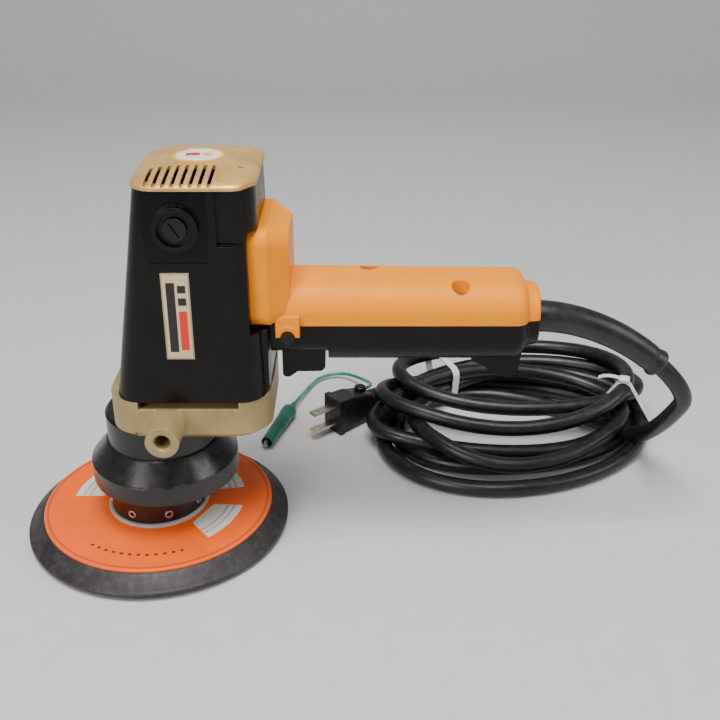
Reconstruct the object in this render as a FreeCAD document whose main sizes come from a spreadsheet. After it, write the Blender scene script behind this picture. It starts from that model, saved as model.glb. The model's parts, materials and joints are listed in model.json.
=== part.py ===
import FreeCAD, Part
import math
import os
import re
import Sketcher
from FreeCAD import Placement, Rotation, Vector

# Dual action polisher, millimetres.  The origin is the middle of the pad's working face,
# +Z is up, +X runs along the handle and -Y is the side that carries the front brush cap.

doc = FreeCAD.newDocument("polisher")

# --------------------------------------------------------------------------- sizes

SIZES = {
    # pad and hub, centred on the origin
    "pad_radius": 75, "pad_top_radius": 65.5, "hook_thick": 1.5, "cushion_top": 12,
    "disc_top": 13.6, "stud_pocket": 9, "stud_radius": 4, "hub_radius": 27, "hub_top": 35,
    "hub_floor": 19, "ring_radius": 28.8, "ring_top": 15.4, "ring_bore": 25.8,
    "pad_brg_radius": 16, "pad_brg_bore": 6, "pad_brg_base": 22.6, "pad_brg_top": 32.6,
    "radial_hole_height": 20.5, "mark_inner": 33, "mark_outer": 50,
    # spindle, gears and neck
    "orbit": 6.5, "gear_centres": 23, "gear_module": 1, "gear_teeth": 37, "pinion_teeth": 9,
    "gear_base": 82, "gear_top": 92, "crank_base": 36.2, "crank_top": 43, "crank_radius": 15,
    "weight_radius": 31, "weight_top": 51, "shaft_radius": 8.5, "gear_seat": 8,
    "low_brg_radius": 20, "low_brg_base": 62, "low_brg_top": 74,
    "high_brg_radius": 9.5, "high_brg_base": 94.4, "high_brg_top": 100, "journal": 4,
    "skirt_radius": 41, "skirt_base": 37, "skirt_top": 48.5, "shroud_top": 60, "shroud_wall": 2.5,
    "neck_radius": 30.7, "neck_top": 78,
    # gear housing and side handle boss
    "house_left": -14, "house_right": 71, "house_half": 38, "house_top": 100, "house_wall": 6,
    "boss_across": 18, "boss_height": 88, "boss_radius": 8.6, "boss_reach": 58,
    "thread_radius": 4, "thread_depth": 16,
    # motor case and cover
    "case_base_left": -9, "case_base_right": 69, "case_base_half": 38,
    "case_top_left": 8.5, "case_top_right": 67.5, "case_top_half": 34, "case_top": 211.5,
    "case_wall": 3, "case_corner": 13, "cavity_right": 58,
    "cover_top": 219.3, "cover_edge": 213,
    "brush_height": 193, "brush_boss": 11.2, "cap_radius": 5.7,
    # motor
    "motor_shaft": 5, "fan_base": 112, "fan_top": 120, "fan_radius": 26,
    "core_base": 127, "core_top": 161, "core_radius": 16, "stator_bore": 16.6,
    "stator_radius": 25, "comm_base": 181, "comm_top": 198.5, "comm_radius": 10.5,
    "motor_low_radius": 13, "motor_low_base": 102, "motor_low_top": 110,
    "motor_high_base": 200, "motor_high_top": 206,
    # handle
    "plate_inner": 62.5, "plate_edge": 72, "plate_outer": 82, "plate_half": 28.6,
    "plate_base": 137, "plate_top": 189.5, "grip_end": 203, "handle_end": 211,
    "grip_half": 22, "grip_base": 112, "grip_top": 157, "split": 136, "shell_wall": 2.8,
    "grip_corner": 15, "trigger_bay": 118, "bay_right": 104, "screw_radius": 1.8,
    # trigger and lock button
    "trigger_left": 76, "trigger_right": 99, "trigger_half": 9, "trigger_base": 103,
    "trigger_top": 123, "trigger_travel": 5, "lock_across": 80.5, "lock_height": 131,
    "lock_radius": 3.3, "lock_boss": 6.2,
    # cord, plug and earth lead
    "cord_radius": 5, "boot_radius": 8.6, "boot_tip": 7.2, "boot_height": 132,
    "boot_reach": 76.5, "boot_angle": 42, "coil_across": 222, "coil_along": 99,
    "coil_half_length": 96.5, "coil_half_width": 83, "coil_top": 28, "coil_turn": 9,
    "coil_hole_length": 62, "coil_hole_width": 30, "tie_thick": 1.2, "tie_width": 5,
    "plug_across": 99, "plug_along": 98, "plug_heading": 39.7, "plug_length": 30,
    "plug_half": 12, "plug_height": 13.2, "blade_gap": 12.7, "blade_reach": 17,
    "wire_radius": 1.2, "clip_across": 71.4, "clip_along": 125.7, "clip_height": 5.4,
    "clip_heading": 253.5, "clip_length": 56, "clip_pivot": 26,
}

sheet = doc.addObject("Spreadsheet::Sheet", "Dims")
for row, (alias, size) in enumerate(SIZES.items(), start=1):
    sheet.set("A%d" % row, alias)
    sheet.set("B%d" % row, str(size))
    sheet.setAlias("B%d" % row, alias)
doc.recompute()

ALIAS = re.compile(r"\b(" + "|".join(SIZES) + r")\b")


def formula(text):
    """Turn 'pad_radius - 2' into an expression that reads the sheet."""
    return ALIAS.sub(r"Dims.\1", str(text))


def number(text):
    """The value of a formula now."""
    value = sheet.evalExpression(formula(text))
    return float(getattr(value, "Value", value))


def bind(item, prop, text):
    """Tie one property to a formula."""
    item.setExpression(prop, formula(text))


# --------------------------------------------------------------------------- building helpers

TURNS = {
    "z": Rotation(),
    "x": Rotation(Vector(1, 1, 1), 120),
    "y": Rotation(Vector(1, 0, 0), -90),
    "-y": Rotation(Vector(1, 0, 0), 90),
}
NODES = {}
serial = 0


def fresh(kind, stem):
    """A new document object with a unique name."""
    global serial
    serial += 1
    return doc.addObject(kind, "%s_%03d" % (stem, serial))


def place(item, across=0, along=0, height=0, axis="z"):
    """Stand an object at a point, its own z axis along x, y, -y or z."""
    item.Placement = Placement(Vector(), TURNS[axis])
    for key, text in (("x", across), ("y", along), ("z", height)):
        bind(item, "Placement.Base." + key, text)
    return item


def rod(radius, length, across=0, along=0, height=0, axis="z"):
    """A cylinder."""
    item = fresh("Part::Cylinder", "Rod")
    bind(item, "Radius", radius)
    bind(item, "Height", length)
    return place(item, across, along, height, axis)


def taper(low, high, length, across=0, along=0, height=0, axis="z"):
    """A cone."""
    item = fresh("Part::Cone", "Taper")
    bind(item, "Radius1", low)
    bind(item, "Radius2", high)
    bind(item, "Height", length)
    return place(item, across, along, height, axis)


def block(left, right, front, back, base, top):
    """A box between two corners."""
    item = fresh("Part::Box", "Block")
    bind(item, "Length", "(%s) - (%s)" % (right, left))
    bind(item, "Width", "(%s) - (%s)" % (back, front))
    bind(item, "Height", "(%s) - (%s)" % (top, base))
    return place(item, left, front, base)


def fuse(*items):
    """Join solids that overlap or touch."""
    item = fresh("Part::MultiFuse", "Fuse")
    item.Shapes = list(items)
    item.Refine = True
    return item


def cut(base, *tools):
    """Take the tools away from the base."""
    item = fresh("Part::Cut", "Cut")
    item.Base = base
    item.Tool = tools[0] if len(tools) == 1 else fuse(*tools)
    item.Refine = True
    return item


def common(base, tool):
    """Keep what two solids share."""
    item = fresh("Part::Common", "Common")
    item.Base = base
    item.Tool = tool
    return item


def group(*items):
    """Separate solids kept together as one node."""
    item = fresh("Part::Compound", "Group")
    item.Links = list(items)
    return item


def rounded(item, radius, pick):
    """Round the edges chosen by pick(edge)."""
    doc.recompute()
    edges = [i for i, edge in enumerate(item.Shape.Edges, start=1) if pick(edge)]
    fillet = fresh("Part::Fillet", "Round")
    fillet.Base = item
    fillet.Edges = [(i, number(radius), number(radius)) for i in edges]
    return fillet


def on_plane(edge, axis, value):
    """True when the whole edge lies at one coordinate."""
    box = edge.BoundBox
    low, high = {"x": (box.XMin, box.XMax), "y": (box.YMin, box.YMax), "z": (box.ZMin, box.ZMax)}[axis]
    return abs(low - value) < 0.01 and abs(high - value) < 0.01


def node(label, item):
    """Name a finished sub-part."""
    item.Label = label
    NODES[label] = item
    return item


def new_sketch(body, name, plane, height=0):
    """A sketch on one of the body's own origin planes."""
    sketch = body.newObject("Sketcher::SketchObject", name)
    support = next(f for f in body.Origin.OriginFeatures if f.Role == plane)
    sketch.AttachmentSupport = [(support, "")]
    sketch.MapMode = "FlatFace"
    bind(sketch, "AttachmentOffset.Base.z", height)
    return sketch


def hold(sketch, kind, edge, end, text):
    """Hold one end of an edge at a bound distance from the sketch origin."""
    value = number(text)
    if abs(value) < 1e-9:
        axis = -2 if kind == "DistanceX" else -1
        sketch.addConstraint(Sketcher.Constraint("PointOnObject", edge, end, axis))
        return
    index = sketch.addConstraint(Sketcher.Constraint(kind, -1, 1, edge, end, value))
    sketch.setExpression("Constraints[%d]" % index, formula(text))


def outline(sketch, points):
    """A closed outline of straight edges with every corner bound to the sheet."""
    corners = [Vector(number(a), number(b), 0) for a, b in points]
    for start, end in zip(corners, corners[1:] + corners[:1]):
        sketch.addGeometry(Part.LineSegment(start, end), False)
    for i in range(len(corners)):
        sketch.addConstraint(Sketcher.Constraint("Coincident", i, 2, (i + 1) % len(corners), 1))
    for i, (first, second) in enumerate(points):
        hold(sketch, "DistanceX", i, 1, first)
        hold(sketch, "DistanceY", i, 1, second)


def rounded_outline(sketch, left, right, front, back, radius):
    """A rectangle with round corners, its sides and radius bound to the sheet."""
    x0, x1, y0, y1, rad = (number(v) for v in (left, right, front, back, radius))
    sides = [
        ((x0 + rad, y0), (x1 - rad, y0)), ((x1, y0 + rad), (x1, y1 - rad)),
        ((x1 - rad, y1), (x0 + rad, y1)), ((x0, y1 - rad), (x0, y0 + rad)),
    ]
    middles = [(x1 - rad, y0 + rad), (x1 - rad, y1 - rad), (x0 + rad, y1 - rad), (x0 + rad, y0 + rad)]
    for start, end in sides:
        sketch.addGeometry(Part.LineSegment(Vector(*start, 0), Vector(*end, 0)), False)
    for i, (a, b) in enumerate(middles):
        circle = Part.Circle(Vector(a, b, 0), Vector(0, 0, 1), rad)
        start = math.radians(90 * i - 90)
        sketch.addGeometry(Part.ArcOfCircle(circle, start, start + math.pi / 2), False)
    for i in range(4):
        sketch.addConstraint(Sketcher.Constraint("Tangent", i, 2, 4 + i, 1))
        sketch.addConstraint(Sketcher.Constraint("Tangent", 4 + i, 2, (i + 1) % 4, 1))
    for i, kind in enumerate(("Horizontal", "Vertical", "Horizontal", "Vertical")):
        sketch.addConstraint(Sketcher.Constraint(kind, i))
    for i in range(1, 4):
        sketch.addConstraint(Sketcher.Constraint("Equal", 4, 4 + i))
    index = sketch.addConstraint(Sketcher.Constraint("Radius", 4, rad))
    sketch.setExpression("Constraints[%d]" % index, formula(radius))
    for edge, kind, text in ((0, "DistanceY", front), (1, "DistanceX", right),
                             (2, "DistanceY", back), (3, "DistanceX", left)):
        hold(sketch, kind, edge, 1, text)


def turned(points, across=0, along=0):
    """A body of revolution about an upright axis; points are (radius, height)."""
    body = fresh("PartDesign::Body", "Turned")
    sketch = new_sketch(body, body.Name + "_profile", "XZ_Plane")
    outline(sketch, points)
    revolve = body.newObject("PartDesign::Revolution", body.Name + "_turn")
    revolve.Profile = sketch
    revolve.ReferenceAxis = (sketch, ["V_Axis"])
    revolve.Angle = 360
    sketch.Visibility = False
    return place(body, across, along)


def slab(points, base, top, axis="z", across=0, along=0, height=0):
    """A straight-sided outline padded between two heights along its own axis."""
    body = fresh("PartDesign::Body", "Slab")
    sketch = new_sketch(body, body.Name + "_profile", "XY_Plane", base)
    outline(sketch, points)
    pad = body.newObject("PartDesign::Pad", body.Name + "_pad")
    pad.Profile = sketch
    bind(pad, "Length", "(%s) - (%s)" % (top, base))
    return place(body, across, along, height, axis)


def hull(*sections, axis="z"):
    """A loft through rounded rectangles; each is (left, right, front, back, radius, height)."""
    body = fresh("PartDesign::Body", "Hull")
    sketches = []
    for i, (left, right, front, back, radius, height) in enumerate(sections):
        sketch = new_sketch(body, "%s_section_%d" % (body.Name, i), "XY_Plane", height)
        rounded_outline(sketch, left, right, front, back, radius)
        sketches.append(sketch)
    loft = body.newObject("PartDesign::AdditiveLoft", body.Name + "_loft")
    loft.Profile = sketches[0]
    loft.Sections = sketches[1:]
    loft.Ruled = True
    return place(body, axis=axis)


def shaped(shape, across=0, along=0, height=0, turn=None):
    """A shape made in code, with its sizes read from the sheet."""
    item = fresh("Part::Feature", "Shape")
    item.Shape = shape
    item.Placement = Placement(Vector(number(across), number(along), number(height)), turn or Rotation())
    return item


def around(count, start=0):
    """Equally spaced angles in degrees."""
    return [start + 360.0 * i / count for i in range(count)]


def ring_block(radius, length, width, base, top, angle, across=0):
    """A radial bar centred at a radius and turned about an upright axis."""
    item = fresh("Part::Box", "Spoke")
    bind(item, "Length", length)
    bind(item, "Width", width)
    bind(item, "Height", "(%s) - (%s)" % (top, base))
    turn = math.radians(angle)
    item.Placement = Placement(Vector(), Rotation(Vector(0, 0, 1), angle))
    inner = "((%s) - (%s) / 2)" % (radius, length)
    bind(item, "Placement.Base.x", "(%s) + %s * %.9f + (%s) / 2 * %.9f"
         % (across, inner, math.cos(turn), width, math.sin(turn)))
    bind(item, "Placement.Base.y", "%s * %.9f - (%s) / 2 * %.9f"
         % (inner, math.sin(turn), width, math.cos(turn)))
    bind(item, "Placement.Base.z", base)
    return item


def polar(radius, angle):
    """Formulas for a point at a radius and an angle in degrees."""
    turn = math.radians(angle)
    return "(%s) * %.9f" % (radius, math.cos(turn)), "(%s) * %.9f" % (radius, math.sin(turn))


SPINDLE = "orbit"
MOTOR = "(orbit + gear_centres)"


# --------------------------------------------------------------------------- pad and hub

def pad_parts():
    """Everything that turns on the eccentric pin."""
    node("hook_face", turned([
        (0, 0), ("pad_radius - 3", 0), ("pad_radius - 3", "hook_thick"), (0, "hook_thick")]))
    node("pad_cushion", turned([
        (0, "hook_thick"), ("pad_radius - 2", "hook_thick"), ("pad_radius", "hook_thick + 2"),
        ("pad_radius", "hook_thick + 3"), ("pad_top_radius", "cushion_top"), ("stud_pocket", "cushion_top"),
        ("stud_pocket", "cushion_top - 6"), (0, "cushion_top - 6")]))
    node("pad_disc", turned([
        ("stud_radius + 0.3", "cushion_top"), ("pad_top_radius", "cushion_top"),
        ("pad_top_radius", "disc_top - 0.6"), ("pad_top_radius - 0.6", "disc_top"),
        ("stud_radius + 0.3", "disc_top")]))
    node("hub_ring", turned([
        ("ring_bore", "disc_top"), ("ring_radius", "disc_top"), ("ring_radius", "ring_top - 0.4"),
        ("ring_radius - 0.4", "ring_top"), ("ring_bore", "ring_top")]))

    hub = turned([
        ("stud_radius", "disc_top"), ("ring_bore - 0.3", "disc_top"), ("ring_bore - 0.3", "ring_top"),
        ("hub_radius", "ring_top"), ("hub_radius", "hub_top - 1.5"), ("hub_radius - 1.5", "hub_top"),
        ("pad_brg_radius", "hub_top"), ("pad_brg_radius", "pad_brg_base"), (10, "pad_brg_base"),
        (10, "hub_floor"), ("stud_radius", "hub_floor")])
    holes = []
    for angle in around(8, 22.5):
        hole = rod(1.3, 8, axis="x")
        hole.Placement = Placement(Vector(), Rotation(Vector(0, 0, 1), angle).multiply(Rotation(Vector(0, 1, 0), 90)))
        first, second = polar("hub_radius - 6", angle)
        bind(hole, "Placement.Base.x", first)
        bind(hole, "Placement.Base.y", second)
        bind(hole, "Placement.Base.z", "radial_hole_height")
        holes.append(hole)
    node("pad_hub", cut(hub, *holes))

    node("pad_bearing", bearing("pad_brg_bore", "pad_brg_radius", "pad_brg_base", "pad_brg_top"))
    node("hub_snap_ring", turned([
        ("pad_brg_radius - 4", "pad_brg_top"), ("pad_brg_radius", "pad_brg_top"),
        ("pad_brg_radius", "pad_brg_top + 1.2"), ("pad_brg_radius - 4", "pad_brg_top + 1.2")]))

    head = slab([polar(7.5, a) for a in around(6)], "cushion_top - 5.3", "cushion_top")
    shank = rod("stud_radius", "hub_floor - cushion_top - 0.4", height="cushion_top")
    node("pad_stud", fuse(head, shank))

    marks = []
    for centre in (-28, 34, 157):
        corners = [polar("mark_inner", centre - 18)]
        corners += [polar("mark_outer", centre + step) for step in (-20, -10, 0, 10, 20)]
        corners.append(polar("mark_inner", centre + 18))
        marks.append(slab(corners, "disc_top", "disc_top + 0.3"))
    node("pad_marks", group(*marks))


def bearing(bore, radius, base, top, across=0):
    """A sealed ball bearing: two rings and the shields set back between them."""
    inner = "(%s) + ((%s) - (%s)) * 0.3" % (bore, radius, bore)
    outer = "(%s) + ((%s) - (%s)) * 0.72" % (bore, radius, bore)
    return turned([
        (bore, base), (inner, base), (inner, "(%s) + 0.5" % base), (outer, "(%s) + 0.5" % base),
        (outer, base), (radius, base), (radius, top), (outer, top), (outer, "(%s) - 0.5" % top),
        (inner, "(%s) - 0.5" % top), (inner, top), (bore, top)], across)


# --------------------------------------------------------------------------- spindle and gears

def gear_shape(teeth, module, bore, base, top, half_tooth_turn):
    """A straight-cut gear: trapezoid teeth with room for running clearance."""
    pitch = module * teeth / 2.0
    tip, root = pitch + 0.8 * module, pitch - 1.05 * module
    step = 2 * math.pi / teeth
    corners = []
    for i in range(teeth):
        middle = i * step + (step / 2 if half_tooth_turn else 0)
        for reach, share in ((root, -0.30), (pitch, -0.215), (tip, -0.11),
                             (tip, 0.11), (pitch, 0.215), (root, 0.30)):
            angle = middle + share * step
            corners.append(Vector(reach * math.cos(angle), reach * math.sin(angle), base))
    face = Part.Face(Part.makePolygon(corners + corners[:1]))
    blank = face.extrude(Vector(0, 0, top - base))
    return blank.cut(Part.makeCylinder(bore, top - base, Vector(0, 0, base)))


def spindle_parts():
    """The crank, its weight and the large gear."""
    shaft = turned([
        (0, "crank_base"), ("crank_radius", "crank_base"), ("crank_radius", "crank_top"),
        ("shaft_radius", "crank_top"), ("shaft_radius", "low_brg_top + 2"),
        ("gear_seat", "low_brg_top + 2"), ("gear_seat", "gear_top + 1"), ("journal", "gear_top + 1"),
        ("journal", "high_brg_top - 0.4"), (0, "high_brg_top - 0.4")], SPINDLE)
    shoulder = rod(8, "crank_base + 1 - pad_brg_top - 0.4", height="pad_brg_top + 0.4")
    pin = rod("pad_brg_bore - 0.03", "crank_base + 1.3 - pad_brg_base", height="pad_brg_base - 0.3")
    node("spindle", fuse(shaft, shoulder, pin))

    weight = cut(rod("weight_radius", "weight_top - crank_top", SPINDLE, 0, "crank_top"),
                 rod("shaft_radius", "weight_top", SPINDLE, 0, 0),
                 block("-60", "orbit - 4", "-60", "60", "crank_top - 5", "weight_top + 5"))
    spots = [("orbit + 9", -7.5), ("orbit + 9", 7.5)]
    seats = [rod(2, 30, x, y, "crank_top - 5") for x, y in spots]
    node("counterweight", cut(weight, *seats))
    node("counterweight_screws", group(*[
        fuse(rod(2, "weight_top - crank_top", x, y, "crank_top"), rod(2.9, 2.4, x, y, "weight_top"))
        for x, y in spots]))
    node("pin_screw", fuse(rod(8, 1.2, height="pad_brg_base - 1.5"),
                           rod(4.2, 1.6, height="pad_brg_base - 3.1")))

    gear = gear_shape(int(number("gear_teeth")), number("gear_module"), number("gear_seat"),
                      number("gear_base"), number("gear_top"), False)
    node("driven_gear", shaped(gear, SPINDLE))
    node("spindle_lower_bearing", bearing("shaft_radius + 0.03", "low_brg_radius", "low_brg_base",
                                          "low_brg_top", SPINDLE))
    node("spindle_upper_bearing", bearing("journal + 0.03", "high_brg_radius", "high_brg_base",
                                          "high_brg_top", SPINDLE))


def neck_parts():
    """The collar under the gear housing and the skirt round the crank."""
    node("neck_collar", turned([
        ("shaft_radius + 1.5", "low_brg_base - 2"), ("neck_radius - 3", "low_brg_base - 2"),
        ("neck_radius - 3", "shroud_top + 0.2"), ("neck_radius", "shroud_top + 0.2"),
        ("neck_radius", "neck_top - 1.6"), ("neck_radius - 1.6", "neck_top"),
        ("low_brg_radius", "neck_top"), ("low_brg_radius", "low_brg_base"),
        ("shaft_radius + 1.5", "low_brg_base")], SPINDLE))
    node("shroud", turned([
        ("skirt_radius - shroud_wall", "skirt_base"), ("skirt_radius", "skirt_base"),
        ("skirt_radius", "skirt_top - 0.6"), ("skirt_radius - 0.6", "skirt_top"),
        ("neck_radius + 1", "shroud_top - 0.6"), ("neck_radius", "shroud_top"),
        ("neck_radius - 3", "shroud_top"), ("neck_radius - 3", "shroud_top - 3"),
        ("skirt_radius - shroud_wall", "skirt_top - 3.4")], SPINDLE))


# --------------------------------------------------------------------------- gear housing

def housing_parts():
    """The cast housing with the side handle boss and the two gear pockets."""
    low = "neck_top"
    body = hull(("house_left + 3", "house_right - 3", "3 - house_half", "house_half - 3", 17, low),
                ("house_left", "house_right", "-house_half", "house_half", 18, low + " + 3"),
                ("house_left", "house_right", "-house_half", "house_half", 18, "house_top"))
    bosses = []
    for side, axis in ((-1, "-y"), (1, "y")):
        root = "%d * (house_half - 8)" % side
        bosses.append(rod("boss_radius", "boss_reach - house_half + 8", "boss_across", root,
                          "boss_height", axis))
        bosses.append(taper("boss_radius + 1.3", "boss_radius", 22, "boss_across", root, "boss_height", axis))
    solid = fuse(body, *bosses)

    roof = "house_top - house_wall"
    tools = [
        rod("gear_module * (gear_teeth + 3) / 2 + 0.6", "(%s) - (%s)" % (roof, low), SPINDLE, 0, low),
        rod(8.5, "(%s) - (%s) - 1" % (roof, low), MOTOR, 0, low + " + 1"),
        rod("high_brg_radius", 20, SPINDLE, 0, "high_brg_base"),
        rod("journal + 2.5", 10, SPINDLE, 0, "gear_top"),
        rod(6.5, 30, MOTOR, 0, "gear_base"),
        block(3, 55, "-house_half - 2", "8 - house_half", "house_top - 4.2", "house_top + 1"),
        block(0, 4, "-house_half - 2", "3.5 - house_half", low + " - 1", low + " + 4"),
        block(46, 58, -22, 22, low + " - 1", "house_top - 5"),
    ]
    for side, axis in ((-1, "y"), (1, "-y")):
        face = "%d * boss_reach" % side
        tools.append(rod("thread_radius", "thread_depth", "boss_across", face, "boss_height", axis))
        tools.append(taper("thread_radius + 1", "thread_radius", 1, "boss_across", face, "boss_height", axis))
    for x, y in screw_spots():
        tools.append(rod(2.2, 30, x, y, low + " - 1"))
        tools.append(rod(4.2, 5, x, y, low + " - 1"))
    node("gear_housing", cut(solid, *tools))


def screw_spots():
    """Where the four case screws stand."""
    return [(x, y) for x in (1, 57.5) for y in (-28.5, 28.5)]


# --------------------------------------------------------------------------- motor case

def case_section(height, inset=0):
    """One level of the tapered case as a rounded rectangle, set in by a wall."""
    share = "((%s) - house_top) / (case_top - house_top)" % height
    left = "case_base_left + (case_top_left - case_base_left) * %s + %s" % (share, inset)
    right = "case_base_right + (case_top_right - case_base_right) * %s - %s" % (share, inset)
    half = "(case_base_half + (case_top_half - case_base_half) * %s - %s)" % (share, inset)
    return left, right, "-" + half, half, "case_corner - %s" % inset, height


def cavity_section(height):
    """The hollow of the case at one level; its handle side is a thick wall."""
    left, _, front, back, radius, _ = case_section(height, "case_wall")
    return left, "cavity_right", front, back, radius, height


def case_parts():
    """The black case, its labels and the screws that hold it down."""
    outer = hull(case_section("house_top"), case_section("case_top"))
    cavity = hull(cavity_section("house_top"), cavity_section("case_top"))
    low_web = hull(cavity_section("motor_low_base"), cavity_section("motor_low_top - 3"))
    low_seat = rod("motor_low_radius + 3", "motor_low_top - motor_low_base", MOTOR, 0, "motor_low_base")
    high_web = common(hull(cavity_section("motor_high_base"), cavity_section("motor_high_top")),
                      fuse(block(-20, 90, -9, 9, "motor_high_base", "motor_high_top"),
                           rod(14, "motor_high_top - motor_high_base", MOTOR, 0, "motor_high_base")))
    cap_bosses = [rod("brush_boss", 9.6, MOTOR, "%d * (case_top_half - 7)" % s, "brush_height", axis)
                  for s, axis in ((-1, "-y"), (1, "y"))]
    block_side = hull(("-plate_half", "plate_half", "house_top + 2", "plate_base + 20", 6, "case_base_right - 6"),
                      ("-plate_half", "plate_half", "house_top + 2", "plate_base + 20", 6, "case_base_right + 1.5"),
                      axis="x")
    shell = cut(fuse(outer, block_side), cavity)
    recesses = []
    for side in (-1, 1):
        profile = [("%d * (case_top_half + 1.2)" % side, "case_top - 36"),
                   ("%d * (case_top_half - 2.2)" % side, "case_top + 1"),
                   ("%d * (case_top_half + 6)" % side, "case_top + 1")]
        recesses.append(slab(profile, "%s - 15.5" % MOTOR, "%s + 15.5" % MOTOR, axis="x"))
    ledges = [block(49, 80, "case_top_half - 1.8", 60, "plate_top - 5.5", "case_top + 1"),
              block(49, 80, -60, "1.8 - case_top_half", "plate_top - 5.5", "case_top + 1")]
    posts = [rod(4.5, 16, x, y, "house_top") for x, y in screw_spots()]
    body = fuse(cut(shell, *recesses, *ledges), low_web, low_seat, high_web, *cap_bosses, *posts)

    tools = [
        rod("motor_low_radius", 30, MOTOR, 0, "motor_low_base"),
        rod(7, 30, MOTOR, 0, "house_top - 5"),
        rod(9.5, 30, MOTOR, 0, "motor_high_base"),
        rod("comm_radius + 1.5", "comm_top - comm_base + 4", MOTOR, 0, "comm_base - 3"),
        block("plate_inner", 95, -60, 60, "plate_base - 0.3", "plate_top + 0.3"),
        rod(5, 12, "cavity_right - 3", 0, "plate_base + 12", "x"),
    ]
    for s, axis in ((-1, "-y"), (1, "y")):
        tools.append(block("%s - 5" % MOTOR, "%s + 5" % MOTOR, "%d * 16 - 13.5" % s, "%d * 16 + 13.5" % s,
                           "brush_height - 5.5", "brush_height + 5.5"))
        tools.append(rod("cap_radius", 12, MOTOR, "%d * 29.5" % s, "brush_height", axis))
        tools.append(rod("brush_boss - 2.4", 6, MOTOR, "%d * (case_top_half + 0.4)" % s, "brush_height", axis))
    for x in (10, 49):
        for y in (-1, 1):
            tools.append(rod(6, 20, x, "%d * 22" % y, "house_top + 0.5"))
    tools += [rod(2.2, 20, x, y, "house_top - 5") for x, y in screw_spots()]
    mount = mount_spots()
    tools += [rod("screw_radius", 8, "cavity_right + 1", y, z, "x") for y, z in mount]
    node("motor_case", cut(body, *tools))

    screws = [fuse(rod(2, 32, x, y, "neck_top + 2"), rod(3.8, 2.8, x, y, "neck_top + 1"))
              for x, y in screw_spots()]
    node("case_screws", group(*[cut(s, drive_slot(x, y, "neck_top - 1.7")) for s, (x, y)
                                in zip(screws, screw_spots())]))

    lean = math.degrees(math.atan2(number("case_base_half - case_top_half"), number("case_top - house_top")))
    label = fresh("Part::Box", "Label")
    bind(label, "Length", 14)
    bind(label, "Width", 0.4)
    bind(label, "Height", 46)
    label.Placement = Placement(Vector(), Rotation(Vector(1, 0, 0), -lean))
    bind(label, "Placement.Base.x", "%s - 9" % MOTOR)
    bind(label, "Placement.Base.z", "house_top + 25")
    bind(label, "Placement.Base.y",
         "-case_base_half + 25 * (case_base_half - case_top_half) / (case_top - house_top) - 0.4")
    node("case_label", label)


def mount_spots():
    """Where the four screws hold the handle to the case, as (along, height)."""
    return [(y, z) for y in (-11, 11) for z in (158, 179)]


def drive_slot(across, along, height):
    """A cross recess for a screw head."""
    wide = block("%s - 2.2" % across, "%s + 2.2" % across, "%s - 0.4" % along, "%s + 0.4" % along,
                 height, "%s + 4" % height)
    deep = block("%s - 0.4" % across, "%s + 0.4" % across, "%s - 2.2" % along, "%s + 2.2" % along,
                 height, "%s + 4" % height)
    return fuse(wide, deep)


def cover_parts():
    """The beige cover with its air slots and the round label."""
    left, right, half = "case_top_left - 0.8", "case_top_right + 0.8", "(case_top_half + 0.8)"

    def level(step, radius, height):
        return ("%s + %s" % (left, step), "%s - %s" % (right, step), "-%s + %s" % (half, step),
                "%s - %s" % (half, step), radius, height)

    dome = [(0, 13.5, 0), (1, 13.5, 1.1), (3, 13.5, 2.1), (6.5, 13.5, 3.3), (12, 13, 4.6), (18, 11, 5.6),
            (24, 5.4, 6.1), (27.5, 1.9, 6.3)]
    roof = [(4, 11, -0.6), (8, 10, 0.9), (13, 9, 2.2), (19, 8, 3.2), (25, 4, 3.6)]
    outer = hull(level(0, 13.5, "case_top"), *[level(step, radius, "cover_edge + %s" % rise)
                                               for step, radius, rise in dome])
    inner = hull(level(3, 11, "case_top"), *[level(step, radius, "cover_edge + %s" % rise)
                                             for step, radius, rise in roof])
    inner = cut(inner, *cover_corners(3))
    slots = []
    for i in range(8):
        middle = 16.5 + 4.3 * i
        for side in (-1, 1):
            slot = slab([("%f - 0.9" % middle, "cover_edge + 0.3"), ("%f + 0.9" % middle, "cover_edge + 0.3"),
                         ("%f + 2.7" % middle, "cover_top + 1"), ("%f + 0.9" % middle, "cover_top + 1")],
                        14.5, "case_top_half + 3")
            turn = Rotation(Vector(1, 0, 0), 90) if side < 0 else Rotation(Vector(0, 1, 1), 180)
            slot.Placement = Placement(Vector(0 if side < 0 else 2 * 33.7 + 4.4, 0, 0), turn)
            slots.append(slot)
    square = block(58.5, 61, -14, -11.5, "cover_edge - 2", "cover_top + 1")
    node("top_cover", cut(outer, inner, square, *slots, *cover_corners(0)))

    disc = fresh("Part::Ellipse", "Oval")
    bind(disc, "MajorRadius", 12.8)
    bind(disc, "MinorRadius", 11.8)
    place(disc, "(case_top_left + case_top_right) / 2", 0, "cover_edge + 2")
    label = fresh("Part::Extrusion", "Oval_plate")
    label.Base = disc
    label.Dir = Vector(0, 0, 1)
    label.DirMode = "Custom"
    bind(label, "LengthFwd", 12)
    label.Solid = True
    film = hull(*[level(step, radius, "cover_edge + 0.3 + %s" % rise) for step, radius, rise in dome])
    under = hull(level(0, 13.5, "case_top"), *[level(step, radius, "cover_edge + %s" % rise)
                                               for step, radius, rise in dome])
    node("top_label", cut(common(film, label), under))


def cover_corners(inward):
    """Prisms beyond the cover's slanted handle-side corners."""
    return [slab([("59 - %d" % inward, "%d * 36" % side), (80, "%d * 36" % side),
                  (80, "%d * (36 - 26.7 - 1.27 * %d)" % (side, inward))],
                 "case_top - 1", "cover_top + 1") for side in (-1, 1)]


# --------------------------------------------------------------------------- motor

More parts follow.
